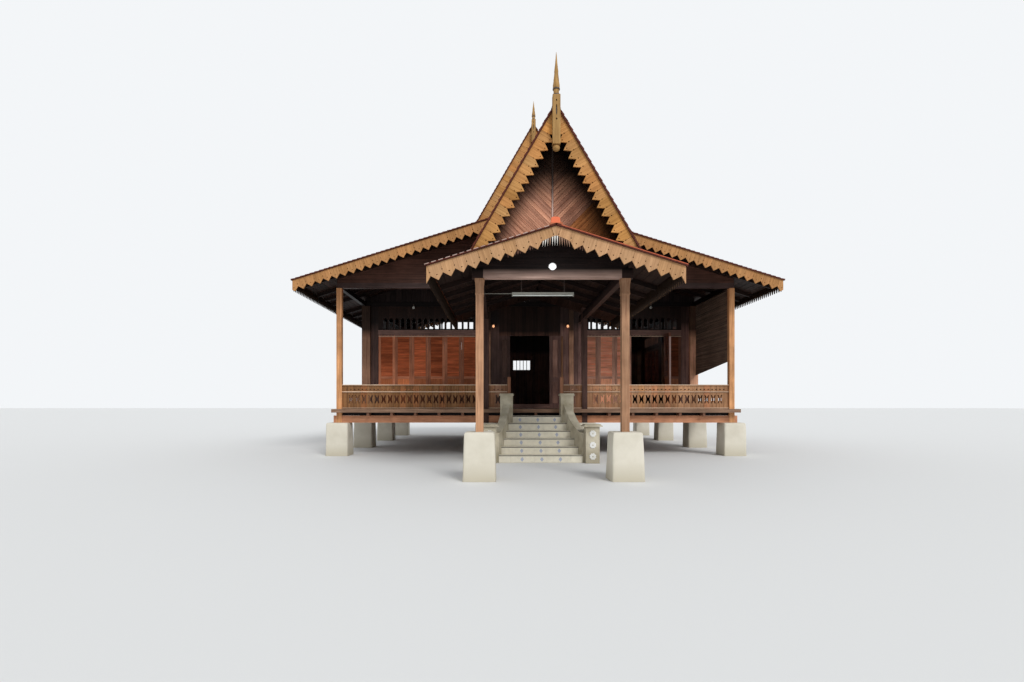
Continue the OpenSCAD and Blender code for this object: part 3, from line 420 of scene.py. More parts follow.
# %% Plain finishes
def plain(name, colour, rough, shine=0.0):
    """One colour, clouded by a faint noise. shine is the light it gives off by itself."""
    finish, tree, shader = open_finish(name)
    place = add(tree, "ShaderNodeTexCoord").outputs["Object"]
    stops = [(0.3, tuple(0.86 * c for c in colour)), (0.7, colour)]
    tree.links.new(shades(tree, noise(tree, place, 9.0, 4.0), stops), shader.inputs["Base Color"])
    shader.inputs["Roughness"].default_value = rough
    shader.inputs["Emission Color"].default_value = (*colour, 1)
    shader.inputs["Emission Strength"].default_value = shine
    return finish


# %% [markdown]
# ### Fired clay
#
# Roof tiles leave the kiln in one red, and the weather makes each its own: some stay orange, some turn
# nearly black. The tone stored with each tile chooses between these, and noise dusts it.

# %% Clay tile finish
def clay(name, stops, rough=0.75):
    """Burnt clay. Its place among the stops is 0.55 times the tile's own tone plus 0.45 times dust."""
    finish, tree, shader = open_finish(name)
    place = add(tree, "ShaderNodeTexCoord").outputs["Object"]
    own = add(tree, "ShaderNodeAttribute", attribute_name="tone").outputs["Fac"]
    dust = noise(tree, place, 14.0, 5.0, 0.7)
    total = sums(tree, "ADD", sums(tree, "MULTIPLY", own, 0.55), sums(tree, "MULTIPLY", dust, 0.45))
    grains = noise(tree, place, 120.0, 3.0)
    coat(tree, shader, shades(tree, total, stops), spread(tree, dust, rough - 0.12, rough + 0.12), 0.15,
         grains, 0.3, 0.003)
    return finish


# %% [markdown]
# ## Rows of posts
#
# Posts stand in rows and columns, and most other pieces are placed by them. These lines are written once,
# as on a plan, and every trade below measures from them.

# %% Rows and columns
porch_y, veranda_y, wall_y, mid_y, back_y = -7.8175, -2.6175, 0.3825, 3.9825, 7.5825
corner_x, inner_x = 5.7, 1.43
print("the room is", round(back_y - wall_y, 2), "m deep and", 2 * corner_x, "m wide")

# %% [markdown]
# ## The roof's planes
#
# Every roof of this house is a pair of slopes that meet over the middle line, so a place on a roof is
# told by four numbers: which side, how far down the slope from the ridge, how far along the house, and
# how high above the tiles' top line. One function turns these into X, Y and Z.

# %% Places on a slope
low_pitch, steep_pitch = np.radians(17.25), np.radians(60)
low_fall, steep_fall = np.tan(low_pitch), np.tan(steep_pitch)
porch_low_ridge, main_low_ridge = 4.80114, 6.97702
porch_steep_ridge, main_steep_ridge = 7.08, 10.15
main_eave_x, porch_eave_x = 6.73, 2.42
tile_layer, boarding = 0.04, 0.04


def on_slope(side, ridge, pitch, down, along, above):
    """X is the distance down the slope times the cosine of the pitch, plus the height above the slope
    times its sine. Z is the ridge less the first times the sine, plus the second times the cosine."""
    x = side * (down * np.cos(pitch) + above * np.sin(pitch))
    z = ridge - down * np.sin(pitch) + above * np.cos(pitch)
    return np.stack(np.broadcast_arrays(x, along, z), axis=-1)


def steep_foot(steep_ridge, low_ridge):
    """Half width at which a steep slope meets the low roof below it."""
    return (steep_ridge - low_ridge) / (steep_fall - low_fall)


main_foot_x = steep_foot(main_steep_ridge, main_low_ridge)
porch_foot_x = steep_foot(porch_steep_ridge, porch_low_ridge)
print("steep roofs stand", round(main_foot_x, 3), "and", round(porch_foot_x, 3), "m from the middle")

# %% [markdown]
# ## Clay tiles in courses
#
# Small flat tiles lie in level courses. Each tile covers the head of the one below and the joint
# between two of them, so courses are shifted by half a tile. Tiles could be an array modifier on one
# tile, but then every tile would lie dead level. Here the four numbers of each tile are arrays with a
# small random lift, turn and tone, and a tile is only a four-cornered outline with a back.

# %% Lay the tiles of one slope
tile_w, course, tile_t = 0.17, 0.135, 0.015
tile_length, tile_gap, narrowest_tile = 1.4 * course, 0.003, 0.02
tile_lift, tile_turn, eave_clearance = 0.0022, 0.0015, 0.004


def tiles_on(side, ridge, pitch, down_from, down_to, along_from, along_to, seed, verges=()):
    """Outer faces of the tiles on a rectangle of a slope: course number k has its lower edge k courses
    above the eave. The head of each tile sinks below the next course by the tile's thickness for each
    course of its length. At the verges the tiles are bedded straight and dark with soot."""
    random = np.random.default_rng(seed)
    courses = int(np.ceil((down_to - down_from) / course))
    columns = int(np.ceil((along_to - along_from) / tile_w)) + 1
    lower = down_to - eave_clearance - np.arange(courses)[:, None] * course + np.zeros(columns)
    left = along_from + (np.arange(columns) - (np.arange(courses)[:, None] % 2) / 2) * tile_w
    right = np.clip(left + tile_w - tile_gap, along_from, along_to)
    left = np.clip(left, along_from, along_to)
    keep = right - left > narrowest_tile
    lower, left, right = lower[keep], left[keep], right[keep]
    upper = np.maximum(lower - tile_length, down_from - 0.3 * course)
    bedded = np.isin(left, verges) | np.isin(right, verges)
    lift = random.normal(0, tile_lift, lower.shape) * ~bedded
    skew = random.normal(0, tile_turn, lower.shape) * ~bedded
    fall = tile_t * (lower - upper) / course
    corners = [on_slope(side, ridge, pitch, lower, left, lift + skew),
               on_slope(side, ridge, pitch, lower, right, lift - skew),
               on_slope(side, ridge, pitch, upper, right, lift - skew - fall),
               on_slope(side, ridge, pitch, upper, left, lift + skew - fall)]
    return np.stack(corners, axis=1), random.random(len(lower)) * ~bedded


def tile_piece(name, patches):
    """Tiles of several slopes in one mesh, each a face and a back set inwards by the thickness."""
    faces = np.concatenate([face for face, _ in patches])
    tone = np.concatenate([own for _, own in patches])
    inward = unit(np.cross(faces[:, 1] - faces[:, 0], faces[:, 3] - faces[:, 0]))
    inward *= -np.sign(inward[:, 2])[:, None] * tile_t
    points, polygons, owner = stack([faces, faces + inward[:, None]])
    return piece(name, points, polygons, roof_clay, tone=tone[owner])


# %% Tile the four roofs
roof_clay = clay("roof_clay", [(0.15, (0.075, 0.018, 0.011)), (0.45, (0.19, 0.052, 0.028)),
                               (0.62, (0.29, 0.092, 0.045)), (0.85, (0.42, 0.16, 0.075))])
tile_reach, ridge_gap, foot_overlap = 0.04, 0.03, 0.1
tiles_meet, tail_y = 0.45, veranda_y - 0.06
porch_front, porch_tail = -8.5675, -1.8175
main_front, main_back = -3.6575, 8.6225
porch_gable_y, steep_front = -7.8375, -8.5075
main_steep_front, main_steep_back = -1.7175, 6.6825
main_gable_front, main_gable_back = -0.9175, 5.8825

porch_slope, main_slope = porch_eave_x / np.cos(low_pitch), main_eave_x / np.cos(low_pitch)
porch_steep_slope = porch_foot_x / np.cos(steep_pitch)
main_steep_slope = main_foot_x / np.cos(steep_pitch)
porch_verge, valley_y = porch_front - tile_reach, main_front - tile_reach - 0.002
main_verges = main_front - tile_reach, main_back + tile_reach
steep_verges = main_steep_front - tile_reach, main_steep_back + tile_reach
low_patches, main_patches, steep_patches = [], [], []
for side in (-1, 1):
    low, foot = (side, porch_low_ridge, low_pitch), porch_foot_x / np.cos(low_pitch) - foot_overlap
    low_patches += [
        tiles_on(*low, ridge_gap, porch_slope, porch_verge, porch_gable_y, 10 + side, [porch_verge]),
        tiles_on(*low, foot, porch_slope, porch_gable_y, porch_tail, 20 + side)]
    low, foot = (side, main_low_ridge, low_pitch), main_foot_x / np.cos(low_pitch) - foot_overlap
    main_patches += [
        tiles_on(*low, foot, main_slope, main_gable_front, main_gable_back, 30 + side),
        tiles_on(*low, ridge_gap, main_slope, main_verges[0], main_gable_front, 40 + side, main_verges),
        tiles_on(*low, ridge_gap, main_slope, main_gable_back, main_verges[1], 50 + side, main_verges)]
    steep, verge = (side, porch_steep_ridge, steep_pitch), steep_front - tile_reach
    steep_patches += [
        tiles_on(side, main_steep_ridge, steep_pitch, ridge_gap, main_steep_slope, *steep_verges, 60 + side,
                 steep_verges),
        tiles_on(*steep, ridge_gap, tiles_meet, verge, valley_y, 70 + side, [verge]),
        tiles_on(*steep, tiles_meet, porch_steep_slope, verge, tail_y, 75 + side, [verge])]
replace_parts(tile_piece("porch_low_tiles", low_patches), "porch_low_roof")
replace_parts(tile_piece("main_low_tiles", main_patches), "main_low_roof")
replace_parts(tile_piece("steep_tiles", steep_patches), "porch_steep_roof", "main_steep_roof")

# %% [markdown]
# ## Boarding under the tiles
#
# Seen from the porch, a roof is its boarding: wide planks that run along the house under the battens,
# with the rafters below them, both painted nearly black for the shade under the roof. Timber isn't as
# long as the roof, so the planks are laid in lengths of a few metres whose ends are staggered. One array
# holds the four corners of all of them.

# %% Board the slopes from below
# Painted shade: the planks' browns are nearly black.
soffit_plank = timber("soffit_plank", (0.008, 0.0035, 0.0025), (0.036, 0.016, 0.011), "board", 0.6)
plank_w, plank_l = 0.175, 3.4
side_gap, end_gap, narrowest_plank, shortest_plank = 0.003, 0.002, 0.02, 0.05


def boarding_on(side, ridge, pitch, down_from, down_to, along_from, along_to):
    """Undersides of planks on a slope: row k is k plank widths down the slope, and its ends are shifted
    along the house by a third of a plank for each row."""
    rows = np.arange(int(np.ceil((down_to - down_from) / plank_w)))[:, None]
    lengths = np.arange(int(np.ceil((along_to - along_from) / plank_l)) + 1)
    start = along_from + (lengths - (rows % 3) / 3) * plank_l
    end = np.clip(start + plank_l - end_gap, along_from, along_to)
    start = np.clip(start, along_from, along_to)
    upper = down_from + rows * plank_w + np.zeros(len(lengths))
    lower = np.minimum(upper + plank_w - side_gap, down_to)
    keep = (end - start > shortest_plank) & (lower - upper > narrowest_plank)
    upper, lower, start, end = upper[keep], lower[keep], start[keep], end[keep]
    under = -(tile_layer + boarding)
    return np.stack([on_slope(side, ridge, pitch, upper, start, under),
                     on_slope(side, ridge, pitch, upper, end, under),
                     on_slope(side, ridge, pitch, lower, end, under),
                     on_slope(side, ridge, pitch, lower, start, under)], axis=1)


barge_t, eave_t = 0.03, 0.024
boards_from, above_foot, boards_meet, meeting_y = 0.005, 0.08, 0.43, -3.7
inside_eave = tile_reach + eave_t
porch_inside = (porch_eave_x - inside_eave) / np.cos(low_pitch)
main_inside = (main_eave_x - inside_eave) / np.cos(low_pitch)
low_soffit, steep_soffit = [], []
for side in (-1, 1):
    low_soffit += [
        boarding_on(side, porch_low_ridge, low_pitch, boards_from, porch_inside,
                    porch_front + barge_t, porch_tail),
        boarding_on(side, main_low_ridge, low_pitch, boards_from, main_inside,
                    main_front + barge_t, main_back - barge_t)]
    steep_soffit += [
        boarding_on(side, main_steep_ridge, steep_pitch, boards_from, main_steep_slope - above_foot,
                    main_steep_front + barge_t, main_steep_back - barge_t),
        boarding_on(side, porch_steep_ridge, steep_pitch, boards_meet, porch_steep_slope - above_foot,
                    steep_front + barge_t, tail_y),
        boarding_on(side, porch_steep_ridge, steep_pitch, boards_from, boards_meet,
                    steep_front + barge_t, meeting_y)]
for name, faces, seed in (("low_boarding", low_soffit, 3), ("steep_boarding", steep_soffit, 4)):
    boards(name, np.concatenate(faces), -Z_AXIS, boarding, soffit_plank, 0.004, seed)

# %% Rafters below the boarding
# Painted shade: the rafters' browns are nearly black; the eave battens take them too.
rafter_timber = timber("rafter_timber", (0.006, 0.003, 0.0025), (0.024, 0.012, 0.009), "board", 0.6)
rafter_w, rafter_h = 0.06, 0.1
outer_rafter = 0.52
post_rows = np.array([veranda_y, wall_y, mid_y, back_y])
quarters = post_rows[:-1, None] + np.array([0.25, 0.5, 0.75]) * np.diff(post_rows)[:, None]
main_rafters = np.concatenate([[veranda_y - outer_rafter], quarters.ravel(), [back_y + outer_rafter]])
porch_rafters = porch_y + (veranda_y - porch_y) * np.arange(1, 6) / 6
rafter_start, rafter_end, rafter_up = [], [], []
for side in (-1, 1):
    for ridge, inside, along in ((main_low_ridge, main_inside, main_rafters),
                                 (porch_low_ridge, porch_inside, porch_rafters)):
        middle = -(tile_layer + boarding + rafter_h / 2)
        rafter_start.append(on_slope(side, ridge, low_pitch, 0.02, along, middle))
        rafter_end.append(on_slope(side, ridge, low_pitch, inside - 0.03, along, middle))
        rafter_up.append(on_slope(side, 0, low_pitch, 0, along * 0, rafter_h))
sticks("rafters", np.concatenate(rafter_start), np.concatenate(rafter_end), (0, rafter_w, 0),
       np.concatenate(rafter_up), rafter_timber)

# %% [markdown]
# ## Edges of the tiling
#
# Between the last tiles and the board below them runs a bedding strip on the verges and a batten along
# the eaves, both nearly black. The battens take the rafters' browns, painted dark for the shade under
# the roof. On the left verge of the porch the worn ends of the tiles show as pale dashes. The right verge
# was mended with new clay and shows one thin bright line.

# %% Bed the verges and the eaves
blackish_clay = clay("blackish_clay", [(0.1, (0.025, 0.007, 0.005)), (0.5, (0.07, 0.016, 0.01)),
                                 (0.9, (0.12, 0.04, 0.03))])
dusty_clay = clay("dusty_clay", [(0.1, (0.34, 0.22, 0.18)), (0.7, (0.5, 0.37, 0.32))])
fresh_clay = clay("fresh_clay", [(0.1, (0.2, 0.045, 0.025)), (0.4, (0.42, 0.1, 0.05)),
                                 (0.7, (0.8, 0.19, 0.09))])
bed_h, bed_inset = 0.02, 0.006
bed_middle = bed_h / 2 - tile_layer
bed_start, bed_end, bed_up, bed_wide = [], [], [], []
verges = [(porch_low_ridge, low_pitch, porch_slope, porch_front, 1),
          (main_low_ridge, low_pitch, main_slope, main_front, 1),
          (main_low_ridge, low_pitch, main_slope, main_back, -1),
          (porch_steep_ridge, steep_pitch, porch_steep_slope, steep_front, 1),
          (main_steep_ridge, steep_pitch, main_steep_slope, main_steep_front, 1),
          (main_steep_ridge, steep_pitch, main_steep_slope, main_steep_back, -1)]
for side in (-1, 1):
    for ridge, pitch, length, face_y, inward in verges:
        along = face_y + inward * (barge_t - tile_reach) / 2
        bed_start.append(on_slope(side, ridge, pitch, 0.0, along, bed_middle))
        bed_end.append(on_slope(side, ridge, pitch, length, along, bed_middle))
        bed_up.append(on_slope(side, 0, pitch, 0, 0, bed_h))
        bed_wide.append((0, tile_reach + barge_t - bed_inset, 0))
sticks("verge_bedding", bed_start, bed_end, bed_wide, bed_up, blackish_clay)

# %% Pale and mended edges of the porch's verges
edge_y, edge_below, edge_t = porch_verge + 0.001, -0.009, 0.009
worn_h, mended_h, worn_from, worn_to = 0.013, 0.016, 0.092, 0.004
edge_end = np.arange(porch_slope, 0.2, -course)
left_verge, right_verge = (-1, porch_low_ridge, low_pitch), (1, porch_low_ridge, low_pitch)
sticks("worn_tile_edges", on_slope(*left_verge, edge_end - worn_from, edge_y, edge_below),
       on_slope(*left_verge, edge_end - worn_to, edge_y, edge_below), (0, edge_t, 0),
       on_slope(-1, 0, low_pitch, 0, 0, worn_h), dusty_clay, 6)
sticks("mended_edge", on_slope(*right_verge, 0.1, edge_y, edge_below),
       on_slope(*right_verge, porch_slope - 0.01, edge_y, edge_below), (0, edge_t, 0),
       on_slope(1, 0, low_pitch, 0, 0, mended_h), fresh_clay, 6)

# %% Battens along the eaves
batten_in, batten_w = 0.032, 0.05
batten_start, batten_end, batten_up, batten_wide = [], [], [], []
for side in (-1, 1):
    for ridge, length, start, end in ((porch_low_ridge, porch_slope, porch_front, porch_tail),
                                      (main_low_ridge, main_slope, main_front, main_back)):
        batten_start.append(on_slope(side, ridge, low_pitch, length - batten_in, start, bed_middle))
        batten_end.append(on_slope(side, ridge, low_pitch, length - batten_in, end, bed_middle))
        batten_up.append(on_slope(side, 0, low_pitch, 0, 0, bed_h))
        batten_wide.append(on_slope(side, 0, low_pitch, batten_w, 0, 0))
sticks("eave_battens", batten_start, batten_end, batten_wide, batten_up, rafter_timber)

# %% [markdown]
# ## Ridge tiles
#
# A ridge is closed by blunt caps of clay. Each cap is a little wider at one end, where it lies over the
# narrow end of the next, so the ridge line shows a step every 0.32 m. The outline of a cap is the roof's
# own angle below and a blunt top above, carried along Y from its wide to its narrow end. Over the low
# apex of the porch sits a newer block with a flat top, still bright.

# %% Caps along a ridge
ridge_clay = clay("ridge_clay", [(0.1, (0.14, 0.045, 0.026)), (0.6, (0.36, 0.11, 0.05)),
                                 (0.95, (0.68, 0.22, 0.12))])
cap_length, cap_t, cap_overlap = 0.32, 0.034, 0.02
wide_end, narrow_end = 1.07, 0.94


def caps_on(ridge, fall, half, along_from, along_to):
    """Outlines of caps in two layers: half width times a little more at the wide end, and the sides
    falling with the slope."""
    count = max(1, int(round((along_to - along_from) / cap_length)))
    edge = np.linspace(along_from, along_to, count + 1)
    shape_x = np.array([-1, 0, 1, 1, 0.36, -0.36, -1])
    shape_drop = np.array([1, 0, 1, 1, 0, 0, 1])
    over = np.array([0, 0, 0, 1, 1, 1, 1])
    layers = []
    for wide, at in ((wide_end, edge[:-1]), (narrow_end, np.minimum(edge[1:] + cap_overlap, along_to))):
        x = np.broadcast_to(shape_x * half * wide, (count, 7))
        z = ridge - shape_drop * half * fall * wide + over * cap_t * wide
        layers.append(np.stack(np.broadcast_arrays(x, at[:, None], z), axis=-1))
    return np.stack(layers)


low_cap, steep_cap = 0.11, 0.06
cap_layers = np.concatenate([
    caps_on(porch_low_ridge, low_fall, low_cap, porch_verge, porch_gable_y),
    caps_on(main_low_ridge, low_fall, low_cap, main_verges[0], main_gable_front),
    caps_on(main_low_ridge, low_fall, low_cap, main_gable_back, main_verges[1]),
    caps_on(porch_steep_ridge, steep_fall, steep_cap, steep_front, valley_y),
    caps_on(main_steep_ridge, steep_fall, steep_cap, main_steep_front, main_steep_back)], axis=1)
points, polygons, owner = stack(cap_layers)
cap_tone = np.random.default_rng(5).random(cap_layers.shape[1])
ridge_caps = piece("ridge_caps", points, polygons, ridge_clay, tone=cap_tone[owner])
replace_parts(ridge_caps, "ridge_tiles")

# %% Block over the porch's low apex
block = [(-0.098, 0.0), (0.072, 0.0), (0.066, 0.09), (0.03, 0.108), (-0.055, 0.111), (-0.09, 0.094)]
block_layers = upright(np.array([block]) + (0, porch_low_ridge), porch_verge - 0.002, porch_verge + 0.12)
points, polygons, _ = stack(block_layers)
piece("apex_block", points, polygons, fresh_clay, tone=np.ones(len(points)))

# %% [markdown]
# ## Saw-tooth boards
#
# The gold edge of every gable is not one long board. It is a row of short planks, each as wide as one
# tooth, set at right angles to the slope with its lower end cut to a point. A hole is drilled in each
# tooth and another on each joint. A board of this kind could be cut with booleans, but a drilled plank
# is easily written down: the points round the hole and the points round the plank's outline, joined one
# to one. The upper part of the plank carries half of the joint's hole in each side.

# %% Outlines of one plank
def walk(corners, steps):
    """Points along a closed outline: each edge is divided into its own number of equal steps."""
    corners = np.asarray(corners, float)
    onward = np.roll(corners, -1, axis=0)
    parts = [a + (b - a) * np.arange(n)[:, None] / n for a, b, n in zip(corners, onward, steps)]
    return np.concatenate(parts)


def plank_shapes(pitch, width, tooth, split, joint_hole, tooth_hole, hole_r, gap):
    """The outline of a plank's upper part with its half holes, the outline of its toothed part, and
    the circle in the tooth whose points stand in the same directions from the hole's middle. Places
    are along the slope and square to it."""
    left, right = gap / 2, pitch - gap / 2
    turn = np.radians(np.linspace(-80, 80, 7))
    notch_in, notch_down = hole_r * np.cos(turn), hole_r * np.sin(turn)
    upper = np.concatenate([[(left, 0)], np.stack([notch_in, joint_hole + notch_down], axis=1),
                            [(left, split), (right, split)],
                            np.stack([pitch - notch_in, joint_hole - notch_down], axis=1),
                            [(right, 0)]])
    lower = walk([(left, split), (left, width), (pitch / 2, width + tooth), (right, width),
                  (right, split)], (2, 5, 5, 2, 4))
    middle = np.array([pitch / 2, tooth_hole])
    circle = middle + hole_r * unit(lower - middle)
    return upper, lower, circle


def on_board(side, top, pitch, shape, starts, face_y):
    """Shapes laid along a falling board: X and Z of the point that is `s` along the slope and `t`
    square to it, for a copy of the shape at each start."""
    s = shape[None, :, 0] + starts[:, None]
    t = np.broadcast_to(shape[None, :, 1], s.shape)
    x = side * (s * np.cos(pitch) - t * np.sin(pitch))
    z = top - s * np.sin(pitch) - t * np.cos(pitch)
    return np.stack([x, np.broadcast_to(face_y, s.shape), z], axis=-1)


# %% Saw off the ends of a board
def saw_off(mesh, cuts):
    """Cuts a mesh by planes, given as a point and the direction that falls off, and closes the cuts."""
    work = bmesh.new()
    work.from_mesh(mesh)
    for point, away in cuts:
        everything = work.verts[:] + work.edges[:] + work.faces[:]
        bmesh.ops.bisect_plane(work, geom=everything, plane_co=point, plane_no=away, clear_outer=True)
        bmesh.ops.holes_fill(work, edges=[e for e in work.edges if e.is_boundary], sides=0)
    work.to_mesh(mesh)
    work.free()


def saw_boards(name, finish, ridge, pitch, face_y, outward, length, shape, cuts, seed, first=0.0,
               plates=()):
    """The planks of a board on each side of a gable, from `first` near the middle to the end of the
    slope, as solids between the face and the back. Every plank has its own tone and sits a hair in or
    out. plates are outlines that stand for the toothed part on the first planks."""
    upper, lower, circle = plank_shapes(*shape)
    step, made, top = shape[0], [], ridge - tile_layer / np.cos(pitch)
    for side in (-1, 1):
        starts = first + np.arange(int(np.ceil((length - first) / step))) * step
        random = np.random.default_rng(seed + side)
        face = face_y + random.normal(0, 0.0012, len(starts))[:, None]
        back = face - outward * barge_t
        tone = random.random(len(starts))

        def laid(outline, y, some):
            """An outline on some of the planks."""
            return on_board(side, top, pitch, outline, starts[some], y[some])

        toothed = slice(len(plates), None)
        solids = [stack([laid(upper, y, slice(None)) for y in (face, back)])]
        solids += [stack([laid(plate, y, slice(k, k + 1)) for y in (face, back)])
                   for k, plate in enumerate(plates)]
        solids.append(stack([laid(outline, y, toothed) for outline, y in
                             ((circle, face), (lower, face), (lower, back), (circle, back))], ring=True))
        points, faces, owner = joined(solids)
        own = np.concatenate([tone, tone])[owner]
        down = -(points[:, 2] - top) * np.cos(pitch) - side * points[:, 0] * np.sin(pitch)
        along = side * points[:, 0] * np.cos(pitch) - (points[:, 2] - top) * np.sin(pitch)
        uv = np.stack([down + 40 * own, along + points[:, 1] * 0.7], axis=1)
        half = piece(f"{name}_{'left' if side < 0 else 'right'}", points, faces, finish, uv,
                     own)
        saw_off(half.data, [((side * 0.001, 0, 0), (-side, 0, 0))] + cuts(side))
        made.append(half)
    return made


# %% [markdown]
# Sun and rain have turned the boards golden on the steep gables and honey-coloured on the main low ones,
# while the porch's low boards are tan. The tints could be painted plank by plank. Instead each plank's own
# tone picks a tint from a short list, so no two neighbours look alike.

# %% Browns of the saw-tooth boards
WEATHERED = [(0.0, (1.0, 0.84, 0.52)), (0.3, (1.0, 0.97, 0.92)), (0.55, (0.96, 0.78, 0.62)),
             (0.78, (0.84, 0.87, 0.92)), (1.0, (1.0, 0.8, 0.5))]
golden_board = timber("golden_board", (0.34, 0.165, 0.055), (0.66, 0.37, 0.145), "board", 0.65, 0.2, 0.16,
                      WEATHERED)
SUNNED = [(0.0, (1.0, 0.93, 0.82)), (0.5, (1.0, 0.98, 0.96)), (1.0, (0.97, 0.9, 0.86))]
tan_board = timber("tan_board", (0.36, 0.2, 0.1), (0.6, 0.36, 0.19), "board", 0.65, 0.15, 0.08, SUNNED)
honey_board = timber("honey_board", (0.3, 0.145, 0.052), (0.57, 0.3, 0.12), "board", 0.65, 0.15, 0.1,
                     SUNNED)

# %% [markdown]
# The low boards end in an upright cut below the eave. The steep boards end on the tiles of the low roof,
# so their last planks are cut to its slope. Each kind of plank is told by eight numbers: step, width,
# length of the tooth, where the toothed part begins, the joint's hole, the tooth's hole, the holes'
# radius and the gap between two planks.

# %% Hang the boards of all gables
low_shape = (0.238, 0.196, 0.113, 0.15, 0.135, 0.205, 0.0115, 0.0016)
steep_shape = (0.175, 0.165, 0.124, 0.152, 0.128, 0.222, 0.0115, 0.003)
wide_shape = (0.175, 0.24, 0.124, 0.2, 0.175, 0.29, 0.0115, 0.003)


def low_cut(edge):
    """An upright cut at the eave."""
    return lambda side: [((side * (edge - tile_reach), 0, 0), (side, 0, 0))]


def steep_cut(low_ridge):
    """A cut along the low roof."""
    return lambda side: [((0, 0, low_ridge), (-side * low_fall, 0, -1))]


main_low_boards = []
for end, face_y, outward, seed in (("front", main_front, -1, 100), ("back", main_back, 1, 200)):
    main_low_boards += saw_boards(f"main_low_saw_{end}", honey_board, main_low_ridge, low_pitch, face_y,
                                  outward, main_slope + 0.1, low_shape, low_cut(main_eave_x), seed)
main_steep_boards = []
for end, face_y, outward, seed in (("front", main_steep_front, -1, 300), ("back", main_steep_back, 1, 400)):
    main_steep_boards += saw_boards(f"main_steep_saw_{end}", golden_board, main_steep_ridge, steep_pitch,
                                    face_y, outward, main_steep_slope + 0.45, wide_shape,
                                    steep_cut(main_low_ridge), seed)
saw_boards("porch_steep_saw", golden_board, porch_steep_ridge, steep_pitch, steep_front, -1,
           porch_steep_slope + 0.35, steep_shape, steep_cut(porch_low_ridge), 500)
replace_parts(main_low_boards[0], "main_low_bargeboards")
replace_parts(main_steep_boards[0], "main_steep_bargeboards")

# %% [markdown]
# Near the middle of the porch the boards' lower edge rises in a small arch, which makes room for the fan.
# The first two planks on each side follow it instead of having a tooth.

# %% Boards beside the fan
fan_half, half_rays, arch_rise = 0.257, 6, 0.03


def arch_lift(x):
    """How far the arch lifts the board's lower edge: a quarter of a cosine wave over the fan."""
    return arch_rise * np.cos(np.pi / 2 * np.clip(np.abs(x) / fan_half, 0, 1))


plank_step, solid_w, split_w = low_shape[0], low_shape[1], low_shape[3]
first_plank = (fan_half + solid_w * np.sin(low_pitch)) / np.cos(low_pitch) - 2 * plank_step
fan_plates = []
for k in range(2):
    s = np.linspace(plank_step - low_shape[7] / 2, low_shape[7] / 2, 9)
    x = (first_plank + k * plank_step + s) * np.cos(low_pitch) - solid_w * np.sin(low_pitch)
    arch = np.stack([s, solid_w - arch_lift(x) * np.cos(low_pitch)], axis=1)
    fan_plates.append(np.concatenate([[(s[-1], split_w), (s[0], split_w)], arch]))
porch_low_boards = saw_boards("porch_low_saw", tan_board, porch_low_ridge, low_pitch, porch_front, -1,
                              porch_slope + 0.1, low_shape, low_cut(porch_eave_x), 600, first_plank,
                              fan_plates)
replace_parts(porch_low_boards[0], "porch_bargeboards")

# %% [markdown]
# ## The fan at the porch's apex
#
# Over the entrance the two low boards are cut back in an arch, and thin pointed laths hang from the arch
# like an open fan. The laths near the middle are nearly white, the outer ones darker.
# Beside the fan a row of dark laths closes the notches of the boards from behind.

# %% Rays of the fan
ray_plank = timber("ray_plank", (0.6, 0.56, 0.5), (0.9, 0.87, 0.82), "board", 0.65, 0.15, 0.0,
                   [(0.0, (0.22, 0.11, 0.075)), (0.45, (0.5, 0.32, 0.23)), (0.8, (1.0, 1.0, 1.0))])
lath_plank = timber("lath_plank", (0.05, 0.022, 0.016), (0.16, 0.08, 0.055), "board", 0.65, 0.2, 0.5)
ray_x = (np.arange(half_rays) + 0.5) * fan_half / half_rays
lower_edge = porch_low_ridge - (tile_layer + solid_w) / np.cos(low_pitch)
ray_root = lower_edge - low_fall * ray_x + arch_lift(ray_x) + 0.014
ray_tip = lower_edge - low_fall * fan_half - low_shape[2] + arch_rise * (1 - (ray_x / fan_half) ** 2)
half_ray, ray_shoulder, ray_spread = 0.012, 0.028, 1.06
right_rays = np.stack([np.stack([x, z], axis=1) for x, z in (
    (ray_x - half_ray, ray_root), (ray_x + half_ray, ray_root), (ray_x + half_ray, ray_root - ray_shoulder),
    (ray_x * ray_spread, ray_tip), (ray_x - half_ray, ray_root - ray_shoulder))], axis=1)
ray_layers = upright(np.concatenate([right_rays * (side, 1) for side in (-1, 1)]), porch_front + 0.004,
                     porch_front + barge_t - 0.006)
paleness = np.array([1.0, 1.0, 0.3, 0.6, 0.9, 0.7, 0.9, 0.45, 0.35, 0.2, 0.25, 0.3])
upright_piece("porch_fan", stack(ray_layers), ray_plank, 7, paleness)

# %% Laths behind the notches
lath_step, half_lath, lath_shoulder = 0.045, 0.016, 0.05
lath_x = np.concatenate([np.arange(-0.88, -0.3, lath_step), np.arange(0.31, 0.6, lath_step)])
lath_top = lower_edge - low_fall * np.abs(lath_x) + 0.02
lath_low = lath_top - 0.105 - 0.02 * np.random.default_rng(9).random(len(lath_x))
laths = np.stack([np.stack([lath_x + x, z], axis=1) for x, z in (
    (-half_lath, lath_top), (half_lath, lath_top), (half_lath, lath_low + lath_shoulder), (0.0, lath_low),
    (-half_lath, lath_low + lath_shoulder))], axis=1)
upright_piece("inner_laths", stack(upright(laths, porch_front + 0.036, porch_front + 0.046)), lath_plank,
              17)

# %% [markdown]
# ## Pointed eave boards
#
# Along the eaves hang planks with long points, edge to edge. The tone is stored point by point: each
# plank's own on the outside, and on the inside the darkest tint, a painted shade under the roof.

# %% Planks along the eaves
eave_w, eave_shoulder, eave_point, point_side, eave_gap = 0.12, 0.15, 0.29, 0.12, 0.001


